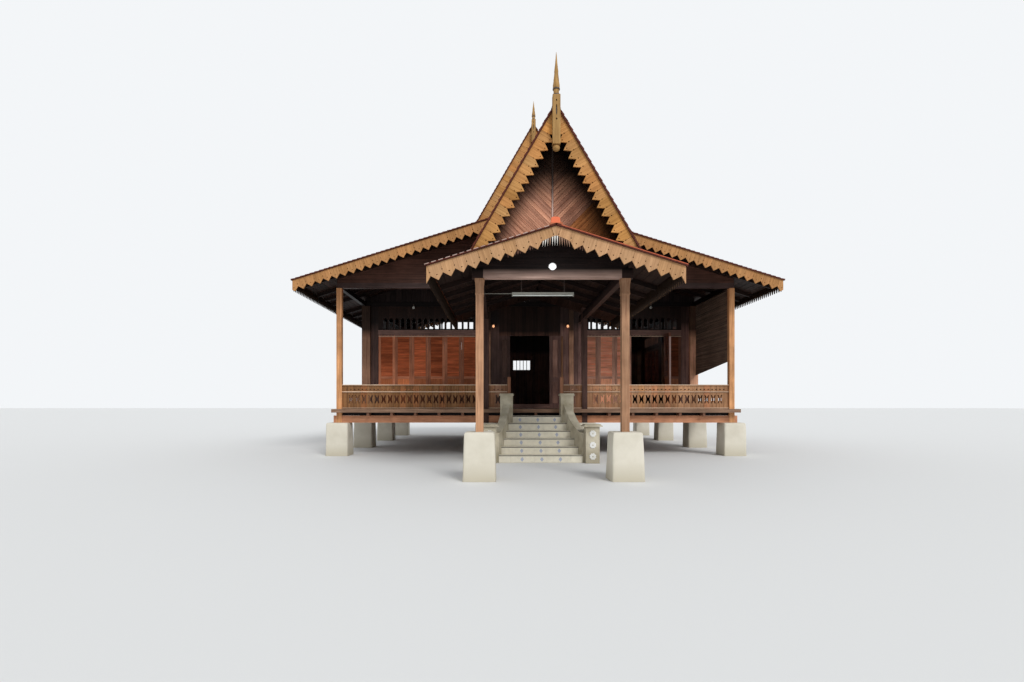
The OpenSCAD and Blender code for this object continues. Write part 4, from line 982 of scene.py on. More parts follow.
def eave_planks(side, edge, ridge, along_from, along_to):
    """Outlines of the planks in three layers, the face, just behind it and the back, each with two
    shoulders and a point."""
    count = int((along_to - along_from) / eave_w)
    step = (along_to - along_from) / count
    start = along_from + np.arange(count)[:, None] * step
    y = start + np.array([eave_gap, step - eave_gap, step - eave_gap, step * (1 - point_side), step / 2,
                          step * point_side, eave_gap])
    outer = edge - tile_reach
    top = ridge - low_fall * outer - tile_layer / np.cos(low_pitch)
    drop = np.array([0, 0, eave_shoulder, eave_shoulder, eave_point, eave_shoulder, eave_shoulder])
    z = np.broadcast_to(top - drop, y.shape)
    return np.stack([np.stack([np.full(y.shape, side * x), y, z], axis=-1)
                     for x in (outer, outer - 0.001, outer - eave_t)])


eave_plank = timber("eave_plank", (0.34, 0.17, 0.075), (0.6, 0.35, 0.17), "board", 0.65, 0.25, 0.0,
                    [(0.0, (0.035, 0.03, 0.03)), (0.3, (0.7, 0.66, 0.62)), (0.65, (1.0, 0.95, 0.85)),
                     (1.0, (0.95, 0.78, 0.6))])
eave_layers = np.concatenate([eave_planks(side, *row) for side in (-1, 1) for row in (
    (main_eave_x, main_low_ridge, main_front + barge_t, main_back - barge_t),
    (porch_eave_x, porch_low_ridge, porch_front + barge_t, porch_tail))], axis=1)
points, polygons, owner = stack(eave_layers)
uv, own = grained(points, Z_AXIS, owner, 8)
# Painted shade: the inner faces take tone 0, the darkest tint.
inside = np.arange(len(points)) >= len(points) // 3
eave_boards = piece("eave_points", points, polygons, eave_plank, uv,
                    np.where(inside, 0.0, 0.35 + 0.65 * own))
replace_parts(eave_boards, "eave_boards")

# %% [markdown]
# ## Feather boards on the steep gables
#
# Behind the saw-tooth boards each gable is clad with boards that rise outwards from a middle batten, like
# the vanes of a feather. A board runs from the batten to the roof, so its four corners are where two lines
# at 45 degrees cross the batten, the low roof's line or the steep roof's line. On the porch a few low
# boards on the right are golden. Towards the ridge the boards and battens are painted nearly black, the
# roof's shade and shadow.

# %% Clad the steep gables
# Painted shade: the fades darken the boards and battens upwards, and the porch's boards also darken close
# below the steep slope.
porch_feather = timber("porch_feather", (0.3, 0.125, 0.075), (0.86, 0.46, 0.3), "board", 0.5, 0.3, 0.22,
                       [(0.0, (1.0, 0.92, 0.92)), (0.85, (1.0, 0.94, 0.88)), (0.92, (0.84, 0.62, 0.3))],
                       fade=(5.45, 6.05, 1.0, 0.1), slope_shadow=(7.08, 0.15, 0.5))
main_feather = timber("main_feather", (0.15, 0.07, 0.048), (0.36, 0.19, 0.135), "board", 0.5, 0.3, 0.25,
                      fade=(7.4, 9.4, 1.0, 0.25))
batten_wood = timber("batten_wood", (0.34, 0.22, 0.18), (0.56, 0.4, 0.34), "board", 0.5,
                     fade=(5.3, 5.9, 1.0, 0.12))
feather_step, feather_gap, batten_half = 0.112, 0.004, 0.018
vane_t, vane_out, batten_out = 0.012, 0.013, 0.012


def feather(steep_ridge, low_ridge, y):
    """Faces of the boards on both sides. A line that starts at height z over the middle and rises at 45
    degrees meets the low roof where x is (low ridge less z) over (1 plus the low fall), and the steep
    boarding where x is (steep ridge less z) over (1 plus the steep fall)."""
    under = steep_ridge - 2 * (tile_layer + boarding)
    lowest = low_ridge - (under - low_ridge) * (1 + low_fall) / (steep_fall - low_fall)
    start = np.arange(lowest, under - 0.1, feather_step)

    def corners(z):
        """Both ends of the lines that start at these heights."""
        near = np.maximum(batten_half, (low_ridge - z) / (1 + low_fall))
        far = np.maximum(near, (under - z) / (1 + steep_fall))
        return [np.stack([x, np.full(len(z), y), z + x], axis=1) for x in (near, far)]

    near_low, far_low = corners(start)
    near_high, far_high = corners(start + feather_step - feather_gap)
    faces = np.stack([near_low, far_low, far_high, near_high], axis=1)
    wide = far_low[:, 0] - near_low[:, 0] > 0.06
    faces = faces[wide & (far_high[:, 0] - near_high[:, 0] > 0.01)]
    return np.concatenate([faces, faces * (-1, 1, 1)])


vanes = feather(porch_steep_ridge, porch_low_ridge, porch_gable_y - vane_out)
golden_low_right = (vanes[:, :, 0].mean(1) > 0.5) & (vanes[:, 0, 2] < 5.0)
boards("porch_feather", vanes, -Y_AXIS, vane_t, porch_feather, 0.004, 12,
       np.where(golden_low_right, 1.0, 0.85 * np.random.default_rng(12).random(len(vanes))))
both = [feather(main_steep_ridge, main_low_ridge, y)
        for y in (main_gable_front - vane_out, main_gable_back + vane_out)]
outwards = np.repeat([-Y_AXIS, Y_AXIS], [len(faces) for faces in both], axis=0)
boards("main_feather", np.concatenate(both), outwards, vane_t, main_feather, 0.004, 13)
batten_from = np.array([(0, porch_gable_y - batten_out, porch_low_ridge + 0.02),
                        (0, main_gable_front - batten_out, main_low_ridge + 0.02),
                        (0, main_gable_back + batten_out, main_low_ridge + 0.02)])
batten_to = batten_from + np.outer((2.0, 2.95, 2.95), Z_AXIS)
sticks("gable_battens", batten_from, batten_to, (2 * batten_half - 0.004, 0, 0), (0, 0.022, 0), batten_wood,
       14)

# %% [markdown]
# Below the low apex the porch is closed by level boards, and over the front wall's plate by upright ones
# up to the roof. Both are painted nearly black, for the shade in which they stand.

# %% Level boards of the tympanum, upright boards over the wall
# Painted shade: this nearly black brown also fills the gaps between the joists.
dark_plank = timber("dark_plank", (0.008, 0.005, 0.005), (0.03, 0.018, 0.016), "board", 0.5)
tympanum_y, level_z = -7.85, np.linspace(4.15, 4.71, 6)
level_half = np.minimum(1.488, (4.717 - level_z) / low_fall)
level_rows = zip(level_half, level_half[1:], level_z + 0.002, level_z[1:] - 0.002)
level = [[(-lower, z0), (lower, z0), (upper, z1), (-upper, z1)] for lower, upper, z0, z1 in level_rows]
boards("tympanum_boards", upright(level, tympanum_y)[0], -Y_AXIS, 0.012, dark_plank, 0.004,
       15)
crown_x, crown_foot, crown_gap = np.linspace(-5.69, 5.69, 65), 5.0, 0.003


def crown_top(x):
    """Height of the boarding's underside at a distance from the middle."""
    return main_low_ridge - (tile_layer + boarding) / np.cos(low_pitch) - low_fall * np.abs(x) - 0.003


left, right = crown_x[:-1] + crown_gap / 2, crown_x[1:] - crown_gap / 2
foot = np.full(len(left), crown_foot)
crown = np.stack([np.stack([x, z], axis=1) for x, z in (
    (left, foot), (left, crown_top(left)), (right, crown_top(right)), (right, foot))], axis=1)
boards("crown_boards", upright(crown, wall_y - 0.02)[0], -Y_AXIS, 0.025, dark_plank, 0.003,
       16)

# %% [markdown]
# ## Shutter leaves
#
# Every window is a row of narrow leaves: two stiles, three rails, a raised panel below and slats above.
# All leaves are alike, so one leaf is described once in its own numbers: across its width, outwards and
# up. Each leaf's place and directions then carry it to the wall. The slats lean outwards and no two lean
# quite the same, which gives the fields their lively stripes. The front leaves under the veranda are
# painted lighter against its shade, while those on the outer walls, where the sun falls, and the last
# three on the right, which stand in shade, take darker copies of the browns.

# %% Where the leaves stand
leaf_w, leaf_h, leaf_t, leaf_pitch, stile_w = 0.568, 2.42, 0.036, 0.573, 0.085
leaf_gap, leaf_foot = 0.0025, 1.455
row_near, row_far, back_near = 1.79, 5.228, 2.354
folded_x, folded_y, folded_apart = 4.655, 0.3145, 0.0205
side_rows = (1.069, 4.604)


def leaf(x, y, along, outward):
    """A leaf's lower corner and its directions: across, outwards and up."""
    return np.array([(x, y, leaf_foot), along, outward, Z_AXIS], float)


def front_leaves(start, numbers):
    """Leaves of the front wall, counted from the left end of their row."""
    return np.array([leaf(start + i * leaf_pitch + leaf_gap, wall_y, X_AXIS, -Y_AXIS) for i in numbers])


left_leaves = front_leaves(-row_far, range(6))
right_leaves = front_leaves(row_near, (0, 1, 2))
folded_leaves = [leaf(folded_x + side * folded_apart, folded_y, -Y_AXIS, side * X_AXIS) for side in (-1, 1)]
right_end_leaves = np.concatenate([front_leaves(row_near, (5,)), folded_leaves])
side_leaves = np.array([leaf(side * corner_x, row + i * leaf_pitch + leaf_gap, Y_AXIS, side * X_AXIS)
                        for side in (-1, 1) for row in side_rows for i in range(4)])
back_leaves = np.array([leaf(start + i * leaf_pitch + leaf_gap, back_y, X_AXIS, Y_AXIS)
                        for start in (-back_near - 4 * leaf_pitch, back_near) for i in range(4)])
print(len(left_leaves) + len(right_leaves) + len(right_end_leaves), "leaves in front,",
      len(side_leaves) + len(back_leaves), "on the other walls")


# %% Build the leaves of one wall
def carried(leaves, local, moved=True):
    """Leaf numbers (across, outwards, up) turned into X, Y and Z for every leaf: the leaf's three
    directions times the three numbers, plus the leaf's corner for places."""
    turned_to = np.einsum("pk,lkx->lpx", np.asarray(local, float), leaves[:, 1:])
    return (turned_to + leaves[:, None, 0] * moved).reshape(-1, 3)


middle_rail = 0.9
frame_ends = [((stile_w / 2, 0, 0), (stile_w / 2, 0, leaf_h)),
              ((leaf_w - stile_w / 2, 0, 0), (leaf_w - stile_w / 2, 0, leaf_h))]
frame_ends += [((stile_w, 0, z), (leaf_w - stile_w, 0, z))
               for z in (stile_w / 2, middle_rail + stile_w / 2, leaf_h - stile_w / 2)]
frame_wide = [(stile_w, 0, 0)] * 2 + [(0, 0, stile_w)] * 3
slat_count, slat_from, slat_to = 24, middle_rail + stile_w, leaf_h - stile_w
slat_w, slat_t, tucked_in, panel_out, panel_t = 0.068, 0.007, 0.004, 0.012, 0.012


def leaf_set(name, leaves, frame_finish, panel_finish, slat_finish, seed):
    """Frames, raised panels and slats of some leaves. Each slat is a thin stick whose wide side leans
    from the inside above to the outside below."""
    starts, ends = zip(*frame_ends)
    count = len(leaves)
    frames = sticks(f"{name}_frames", carried(leaves, starts), carried(leaves, ends),
                    carried(leaves, frame_wide, False),
                    carried(leaves, [(0, leaf_t, 0)] * 5, False), frame_finish, seed)
    rim, panel_top = stile_w - tucked_in, middle_rail + tucked_in
    panel = [(rim, panel_out, rim), (rim, panel_out, panel_top), (leaf_w - rim, panel_out, panel_top),
             (leaf_w - rim, panel_out, rim)]
    faces = np.concatenate([carried(leaves, np.array(panel) * (1, side, 1)).reshape(-1, 4, 3)
                            for side in (1, -1)])
    facing = np.concatenate([leaves[:, 2], -leaves[:, 2]])
    random = np.random.default_rng(seed)
    boards(f"{name}_panels", faces, facing, panel_t, panel_finish, 0.0095, seed + 1)
    z = slat_from + (np.arange(slat_count) + 0.5) * (slat_to - slat_from) / slat_count
    lean = random.normal(0.5, 0.05, (count, 1)) + random.normal(0, 0.04, (count, slat_count))
    lean = lean.ravel()[:, None]
    across = np.repeat(leaves[:, 1], slat_count, axis=0)
    outward = np.repeat(leaves[:, 2], slat_count, axis=0)
    middle = [(x, 0, height) for height in z for x in (rim, leaf_w - rim)]
    middle = carried(leaves, middle).reshape(-1, 2, 3)
    wide = slat_w * (np.sin(lean) * outward - np.cos(lean) * Z_AXIS)
    high = slat_t * (np.cos(lean) * outward + np.sin(lean) * Z_AXIS)
    tone = np.clip(np.repeat(random.random(count), slat_count) * 0.5
                   + random.random(count * slat_count) * 0.5, 0, 1)
    sticks(f"{name}_slats", middle[:, 0], middle[:, 1], wide, high, slat_finish, seed + 2,
           tone)
    return frames


# %% [markdown]
# The front leaves are red on the left and orange on the right. Their browns are painted lighter against
# the veranda's shade, and the orange slats most, for their shaded faces. The left ones are darker,
# partly their own red and partly painted shade, and darker again below the railing's top, a painted
# shade behind it. The outer walls' leaves, in the sun, and the last three on the right, in shade, take
# darker copies. Each set has its own browns for the frames, panels and slats.

# %% Browns of the leaves
# Painted light and shade: the front browns are raised against the veranda's shade, the left ones darken
# below the railing's top, and the last three are darker copies.
left_frame = timber("left_frame", (0.3, 0.1, 0.05), (0.66, 0.245, 0.125), "board", 0.45,
                    fade=(1.75, 2.1, 0.3, 1.0))
red_panel = timber("red_panel", (0.4, 0.1, 0.035), (0.8, 0.26, 0.1), "board", 0.45,
                   fade=(1.75, 2.1, 0.22, 1.0))
red_shutter = timber("red_shutter", (0.36, 0.085, 0.032), (0.84, 0.22, 0.088), "board", 0.45, tone=0.35)
shutter_frame = timber("shutter_frame", (0.34, 0.16, 0.105), (0.72, 0.38, 0.27), "board", 0.45)
orange_shutter = timber("orange_shutter", (0.48, 0.165, 0.085), (0.95, 0.46, 0.27), "board", 0.45, tone=0.5)
orange_slat = timber("orange_slat", (0.84, 0.25, 0.13), (1.0, 0.54, 0.36), "board", 0.45, tone=0.25)
dim_frame = timber("dim_frame", (0.12, 0.045, 0.026), (0.3, 0.125, 0.078), "board", 0.45)
dim_panel = timber("dim_panel", (0.16, 0.05, 0.02), (0.36, 0.13, 0.055), "board", 0.45)
dim_slat = timber("dim_slat", (0.11, 0.03, 0.013), (0.28, 0.08, 0.036), "board", 0.45, tone=0.35)

# %% Hang the leaves of all walls
red_set = left_frame, red_panel, red_shutter
orange_set = shutter_frame, orange_shutter, orange_slat
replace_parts(leaf_set("left_leaves", left_leaves, *red_set, 21), "front_shutters_left")
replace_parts(leaf_set("right_leaves", right_leaves, *orange_set, 31), "front_shutters_right")
# The darker copies serve the leaves in the sun on the outer walls and those in shade at the right end.
dim_set = dim_frame, dim_panel, dim_slat
leaf_set("right_end_leaves", right_end_leaves, *dim_set, 35)
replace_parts(leaf_set("side_leaves", side_leaves, *dim_set, 41), "side_shutters")
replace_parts(leaf_set("back_leaves", back_leaves, *dim_set, 51), "back_shutters")

# %% [markdown]
# ## Mouldings on the front
#
# Thin planed strips give the front its lines: a nosing along each rail of the railings, a strip over the
# shutters, ribs on the boards beside the door. They are only sticks, but each catches a line of light. A
# pale strip along the folded leaves' edges and a lit strip on one door board are painted highlights of
# those edges. Below the deck a near-black board fills the gaps between the joists, a painted shade. The
# door's timbers are painted darker on the left than on the right, by a fade along X, and darker towards
# the plate above: both are painted shade.

# %% Woods of the mouldings
pale_wood = timber("pale_wood", (0.48, 0.34, 0.24), (0.72, 0.54, 0.4), "board", 0.6)
# Painted highlight: the pink brown of the strip on the folded leaves' edges.
pink_highlight = timber("pink_highlight", (0.56, 0.38, 0.34), (0.8, 0.58, 0.53), "board", 0.6)
# Painted shade: the door's timbers and fields are darker on the left and darker up towards the plate.
door_timber = timber("door_timber", (0.1, 0.052, 0.042), (0.3, 0.165, 0.135), "z", 0.45,
                     fade=(3.8, 4.0, 1.0, 0.2), breadth=(-0.5, 0.5, 0.55, 1.1))
door_field = timber("door_field", (0.22, 0.11, 0.08), (0.48, 0.26, 0.2), "board", 0.45,
                    breadth=(-0.5, 0.5, 0.45, 1.1))
# Painted highlight: a lit strip along one door board's edge, dimmed towards the top for the shade.
lit_edge = timber("lit_edge", (0.26, 0.11, 0.05), (0.46, 0.23, 0.12), "z", 0.5, fade=(3.6, 3.95, 1.0, 0.2))

# %% Nosings along the rails
deck_z, rail_half, post_half, stair_x, side_rail_end = 1.34, 0.032, 0.075, 0.82, 0.2425
outer, inner, beside = corner_x - post_half, inner_x + post_half, inner_x - post_half
nosing_z, nosing_w, nosing_h, nosing_in = deck_z + np.array([0.7, 0.5, 0.03]), 0.014, 0.018, 0.005
rail_runs = [((-outer, veranda_y), (-inner, veranda_y)), ((inner, veranda_y), (outer, veranda_y)),
             ((-beside, veranda_y), (-stair_x, veranda_y)), ((stair_x, veranda_y), (beside, veranda_y))]
rail_runs += [((x, veranda_y + post_half), (x, side_rail_end)) for x in (-corner_x, corner_x)]
nosing_from, nosing_to = [], []
for (x0, y0), (x1, y1) in rail_runs:
    outward = np.array([0, -1.0]) if y0 == y1 else np.array([np.sign(x0), 0])
    x_out, y_out = outward * (rail_half + nosing_in)
    for z in nosing_z:
        nosing_from.append((x0 + x_out, y0 + y_out, z))
        nosing_to.append((x1 + x_out, y1 + y_out, z))
across = np.where(np.diff(np.array([nosing_from, nosing_to])[:, :, 1], axis=0).T == 0, Y_AXIS, X_AXIS)
sticks("rail_nosings", nosing_from, nosing_to, across * nosing_w, (0, 0, nosing_h), pale_wood,
       61)

# %% Strips, ribs and fields
strip_y, strip_z, fold_edge_y, wall_face_y = 0.358, 3.822, -0.262, 0.33
door_edge_x, door_edge_y = 1.112, 0.325
sticks("shutter_strips", [(-row_far, strip_y, strip_z), (row_near, strip_y, strip_z)],
       [(-row_near, strip_y, strip_z), (row_far, strip_y, strip_z)], (0, 0.01, 0), (0, 0, 0.02), pale_wood,
       62)
rib_x, rib_w = np.array([0.705, 0.76, 0.985, 1.035]), np.array([0.04, 0.018, 0.018, 0.04])
rib_x, rib_w = np.concatenate([-rib_x, rib_x]), np.tile(rib_w, 2)
rib_foot, rib_h, rib_t = 0.14, 2.34, 0.018
rib_from = rib_x[:, None] * X_AXIS + (0, wall_face_y, deck_z + rib_foot)
sticks("door_ribs", rib_from, rib_from + (0, 0, rib_h), rib_w[:, None] * X_AXIS, (0, rib_t, 0), door_timber,
       63)
# Painted highlights on the folded leaves' edges and on a door board's edge.
sticks("folded_leaf_highlight", (folded_x, fold_edge_y, 2.1), (folded_x, fold_edge_y, 3.75), (0.05, 0, 0),
       (0, 0.012, 0), pink_highlight, 67)
sticks("door_edge_highlight", (door_edge_x, door_edge_y, 1.48), (door_edge_x, door_edge_y, 3.82), (0.05, 0, 0),
       (0, 0.02, 0), lit_edge, 65)
near, far, field_rows = 0.785, 0.96, ((1.5, 2.25), (2.4, 3.7))
fields = [[(side * near, z0), (side * near, z1), (side * far, z1), (side * far, z0)]
          for side in (-1, 1) for z0, z1 in field_rows]
boards("door_fields", upright(fields, wall_face_y)[0], -Y_AXIS, 0.014, door_field, 0.012, 64)

# %% Painted shade between the joists over the front bearer
half_bearer, joists_from, joists_to = 5.66, 1.152, 1.298
gap_shade = [[(-half_bearer, joists_from), (half_bearer, joists_from), (half_bearer, joists_to),
             (-half_bearer, joists_to)]]
boards("joist_gap_shade", upright(gap_shade, -2.6)[0], -Y_AXIS, 0.02, dark_plank, 0.003, 66)

# %% [markdown]
# ## Turned pieces
#
# Finials, lamp shades, bulbs and bosses are all turned on a lathe, so one helper makes them: a profile of
# radius and height pairs is carried round an axis. With petals the radius swells and shrinks on the way
# round, which turns a disc into a rosette.

# %% Turn profiles round an axis
def turned(profile, centres, axis=Z_AXIS, steps=28, petals=0, depth=0.0):
    """Layers for `stack`: at angle a the radius is the profile's radius times one plus the depth times
    the cosine of petals times a, and the height is measured along the axis."""
    profile = np.asarray(profile, float)
    centres = np.atleast_2d(np.asarray(centres, float))
    angle = np.linspace(0, 2 * np.pi, steps, endpoint=False)
    first = unit(np.cross(axis, (0.3, 0.5, 0.8)))
    second = np.cross(axis, first)
    swell = (1 + depth * np.cos(petals * angle))[:, None]
    ring = swell * (np.cos(angle)[:, None] * first + np.sin(angle)[:, None] * second)
    return (centres[None, :, None] + profile[:, None, None, :1] * ring
            + profile[:, None, None, 1:] * np.asarray(axis, float))


def lathe(name, parts, finish):
    """Stacks of layers as one smooth piece."""
    points, polygons, owner = joined([stack(layers) for layers in parts])
    uv, own = grained(points, Z_AXIS, owner, len(name))
    made = piece(name, points, polygons, finish, uv, own, smooth=True)
    made.data.set_sharp_from_angle(angle=np.radians(35))
    return made


# %% [markdown]
# ### Finials
#
# A finial stands on each steep gable: a square shaft with a pierced slot between two holes, a ball below,
# turned rings above and a needle. The pierced front is a row of plates, each joined point by point to the
# hole in it, as with the drilled planks.

# %% Shafts, rings and needles
golden_upright = timber("golden_upright", (0.22, 0.11, 0.036), (0.52, 0.31, 0.11), "z", 0.65, 0.35)
old_metal = plain("old_metal", (0.06, 0.04, 0.032), 0.5)
shaft_l, plate_t = 0.9, 0.03
places = [(steep_front, porch_steep_ridge, -1, 1.0, 0.8),
          (main_steep_front, main_steep_ridge, -1, 0.87, 0.66),
          (main_steep_back, main_steep_ridge, 1, 0.87, 0.66)]
plates = [(0.0, 0.07, None), (0.07, 0.15, (0.013, 0.02)), (0.15, 0.41, (0.013, 0.1)),
          (0.41, 0.49, (0.015, 0.02)), (0.49, shaft_l, None)]
ring_profiles = [[(0.066, -0.004), (0.068, 0.004), (0.068, 0.02), (0.05, 0.028)],
                 [(0.05, 0.106), (0.066, 0.111), (0.067, 0.128), (0.058, 0.134)]]
drum_profile = [(0.052, 0.024), (0.05, 0.06), (0.052, 0.108)]
needle_profile = np.array([(0.056, 0.132), (0.062, 0.145), (0.063, 0.19), (0.055, 0.24), (0.05, 0.262),
                           (0.052, 0.275), (0.041, 0.36), (0.036, 0.42), (0.0385, 0.44), (0.022, 0.58),
                           (0.012, 0.7), (0.003, 0.8)])
ball_profile = np.array([(0.03, -0.9), (0.045, -0.912), (0.066, -0.94), (0.068, -0.96), (0.058, -0.988),
                         (0.03, -1.008)])
shaft_solids, rings, needles, dark_from, dark_to = [], [], [], [], []
for face_y, ridge, outward, scale, tip in places:
    half = 0.07 * scale
    front = face_y + outward * 0.14 * scale
    behind = front - outward * plate_t * scale
    middle_y, top = face_y + outward * half, ridge + 0.05 * scale
    for z0, z1, hole in plates:
        rim = walk([(-half, top - z0 * scale), (half, top - z0 * scale), (half, top - z1 * scale),
                    (-half, top - z1 * scale)], (4, 6, 4, 6))
        centre = np.array([0, top - (z0 + z1) / 2 * scale])
        layers = [(rim, front), (rim, behind)]
        if hole:
            opening = centre + unit(rim - centre) * np.array(hole) * scale
            layers = [(opening, front), *layers, (opening, behind)]
        layers = [upright([outline], y)[0] for outline, y in layers]
        shaft_solids.append(stack(layers, ring=bool(hole)))
    foot = top - shaft_l * scale
    core = [[(-half, foot), (half, foot), (half, top), (-half, top)]]
    shaft_solids.append(stack(upright(core, behind, face_y)))
    dark_from.append((0, front - outward * 0.027 * scale, top - 0.08 * scale))
    dark_to.append((0, front - outward * 0.027 * scale, top - 0.48 * scale))
    centre = (0, middle_y, top)
    needle = needle_profile * (1, (tip - 0.13) / 0.67) + (0, 0.13 * (0.8 - tip) / 0.67)
    rings += [turned(np.array(profile) * scale, centre) for profile in ring_profiles]
    needles += [turned(np.array(profile) * scale, centre)
                for profile in (drum_profile, needle, ball_profile)]
shafts = upright_piece("finial_shafts", joined(shaft_solids), golden_upright, 70)
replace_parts(shafts, "finials")
lathe("finial_rings", rings, old_metal)
lathe("finial_needles", needles, golden_upright)
# Painted shade: a dark strip at the bottom of each shaft's slot.
sticks("finial_slot_shade", dark_from, dark_to, (0.05, 0, 0), (0, 0.004, 0), old_metal, 71)

# %% [markdown]
# ### Post heads and rosettes
#
# The porch posts end in a square moulded head below the beam. The foot newels of the stair carry three
# white plaster rosettes each.

# %% Post heads
post_timber = timber("post_timber", (0.29, 0.14, 0.075), (0.54, 0.305, 0.175), "z", 0.55)
white_plaster = masonry("white_plaster", (0.68, 0.67, 0.62), (0.84, 0.83, 0.79), (0.6, 0.58, 0.5), 0.1)
flight_mortar = masonry("flight_mortar", (0.48, 0.44, 0.35), (0.62, 0.57, 0.47), (0.36, 0.33, 0.25))
head_profile = np.array([(0.076, 3.62), (0.082, 3.63), (0.086, 3.65), (0.082, 3.672), (0.079, 3.69),
                         (0.079, 3.76), (0.083, 3.83), (0.09, 3.88), (0.094, 3.905), (0.094, 3.948)])
square = np.array([(-1, -1, 0), (1, -1, 0), (1, 1, 0), (-1, 1, 0)])
post_heads = [np.array([[(x, porch_y, height) + half * square] for half, height in head_profile])
              for x in (-inner_x, inner_x)]
upright_piece("post_heads", joined([stack(layers) for layers in post_heads]), post_timber, 80)

# %% Rosettes on the newels
newel_x, newel_face = 1.2895, -4.9
boss_at = [(side * newel_x, newel_face, z) for side in (-1, 1) for z in (0.173, 0.46, 0.747)]
petal_rings = turned([(0.07, -0.004), (0.083, 0.006), (0.076, 0.02), (0.05, 0.024), (0.03, 0.02)], boss_at,
                     -Y_AXIS, 48, 8, 0.08)
heart = turned([(0.02, 0.016), (0.018, 0.024), (0.01, 0.028), (0.002, 0.029)], boss_at, -Y_AXIS, 16)
lathe("newel_rosettes", [petal_rings], white_plaster)
lathe("rosette_hearts", [heart], flight_mortar)

# %% [markdown]
# ## Plastered piers
#
# The piers were built up by hand: battered blocks with soft corners and a rounded top edge, none quite
# straight. Each level of a pier is a superellipse, a curve between a circle and a square.

# %% Build the piers
pier_h, pier_half, squareness, unevenness = 0.945, 0.33, 0.13, 0.0022


def pier_layers(centres, batter, seed):
    """Corner at angle a: cosine and sine of a, each raised to a small power with its sign kept, times a
    half width that shrinks by the batter up to the top and turns in there. Two slow waves make it
    uneven."""
    height = np.array([0, 0.03, 0.2, 0.42, 0.64, 0.84, 0.905, 0.93, 0.9405, pier_h])
    turned_in = np.array([0, 0, 0, 0, 0, 0, 0.002, 0.009, 0.022, 0.042])
    angle = np.linspace(0, 2 * np.pi, 44, endpoint=False)
    shape = np.stack([np.cos(angle), np.sin(angle)], axis=1)
    shape = np.sign(shape) * np.abs(shape) ** squareness
    phase = np.random.default_rng(seed).random((len(centres), 2)) * 2 * np.pi
    wave = (np.sin(3 * angle + phase[:, :1] + 4 * height[:, None, None])
            + np.sin(5 * angle + phase[:, 1:] - 6 * height[:, None, None]))
    half = (pier_half - batter * height / pier_h - turned_in)[:, None, None] - unevenness * (2 + wave)
    xy = np.array(centres)[None, :, None] + half[..., None] * shape
    z = np.broadcast_to(height[:, None, None, None], (*xy.shape[:3], 1))
    return np.concatenate([xy, z], axis=-1)


limewash = masonry("limewash", (0.64, 0.59, 0.48), (0.74, 0.69, 0.58), (0.48, 0.43, 0.32), 0.2)
porch_pier_at = [(x, porch_y) for x in (-inner_x, inner_x)]
house_pier_at = [(x, y) for y in post_rows for x in (-corner_x, -inner_x, inner_x, corner_x)]
for name, at, batter, stood_for in (("porch_pier_blocks", porch_pier_at, 0.035, "porch_piers"),
                                    ("house_pier_blocks", house_pier_at, 0.018, "house_piers")):
    points, polygons, owner = stack(pier_layers(at, batter, 90))
    blocks = piece(name, points, polygons, limewash, smooth=True)
    blocks.data.set_sharp_from_angle(angle=np.radians(50))
    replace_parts(blocks, stood_for)

# %% [markdown]
# ## Tiles on the stair
#
# Risers and treads are faced with glazed tiles about 0.3 m wide. A tread tile reaches over the riser
# below it, and under that edge a near-black strip paints the nosing's shadow, which draws the stair's
# level lines. Small blue lozenges stand in three columns.

# %% Lay the stair's tiles
glazed_tile = plain("glazed_tile", (0.8, 0.74, 0.6), 0.3)
faded_blue = plain("faded_blue", (0.42, 0.45, 0.55), 0.35)
nosing_shadow_black = plain("nosing_shadow_black", (0.03, 0.024, 0.018), 0.9)
treads, run = 6, 1.81
rise, tread = deck_z / (treads + 1), run / treads
foot_y, top_half, foot_half, stair_tile_w = -4.7275, 0.67, 1.06, 0.3
lozenge_x, lozenge_w, lozenge_h = (-0.47, 0.03, 0.5), 0.045, 0.062
riser_faces, tread_faces, shadow_from, shadow_to, lozenges = [], [], [], [], []
for i in range(treads):
    y, step_z = foot_y + i * tread, (i + 1) * rise
    clear = top_half + (foot_half - top_half) * (1 - i / treads)
    edges = np.linspace(-clear, clear, int(round(2 * clear / stair_tile_w)) + 1)
    face, low, high = y - 0.008, i * rise + 0.004, step_z - 0.022
    front, end, top = y - 0.02, y + tread - 0.01, step_z + 0.007
    for x0, x1 in zip(edges[:-1] + 0.001, edges[1:] - 0.001):
        riser_faces.append([(x0, face, low), (x1, face, low), (x1, face, high), (x0, face, high)])
        tread_faces.append([(x0, front, top), (x1, front, top), (x1, end, top), (x0, end, top)])
    shadow_from.append((-clear, y - 0.006, step_z - 0.012))
    shadow_to.append((clear, y - 0.006, step_z - 0.012))
    z = (low + high) / 2
    lozenges += [[(x - lozenge_w, y, z), (x, y, z - lozenge_h), (x + lozenge_w, y, z), (x, y, z + lozenge_h)]
                 for x in lozenge_x]
boards("riser_tiles", riser_faces, -Y_AXIS, 0.009, glazed_tile, 0.0015, 91)
boards("tread_tiles", tread_faces, Z_AXIS, 0.009, glazed_tile, 0.002, 92)
# Painted shadow: a near-black strip under each tread's nosing.
sticks("nosing_shadows", shadow_from, shadow_to, (0, 0.012, 0), (0, 0, 0.019), nosing_shadow_black, 93)
lozenges = np.array(lozenges)
points, polygons, _ = stack([lozenges - (0, 0.0088, 0), lozenges - (0, 0.0075, 0)])
piece("stair_lozenges", points, polygons, faded_blue)

# %% [markdown]
# ## Lamps
#
# A round lamp shines over the entrance, an unlit tube hangs under the porch beam, two small warm lamps
# stand out from the door boards, two bulbs hang below the wall plate. All but the tube's housing are
# turned. A lit lamp could hold a light of its own, but by day a finish that glows is enough.

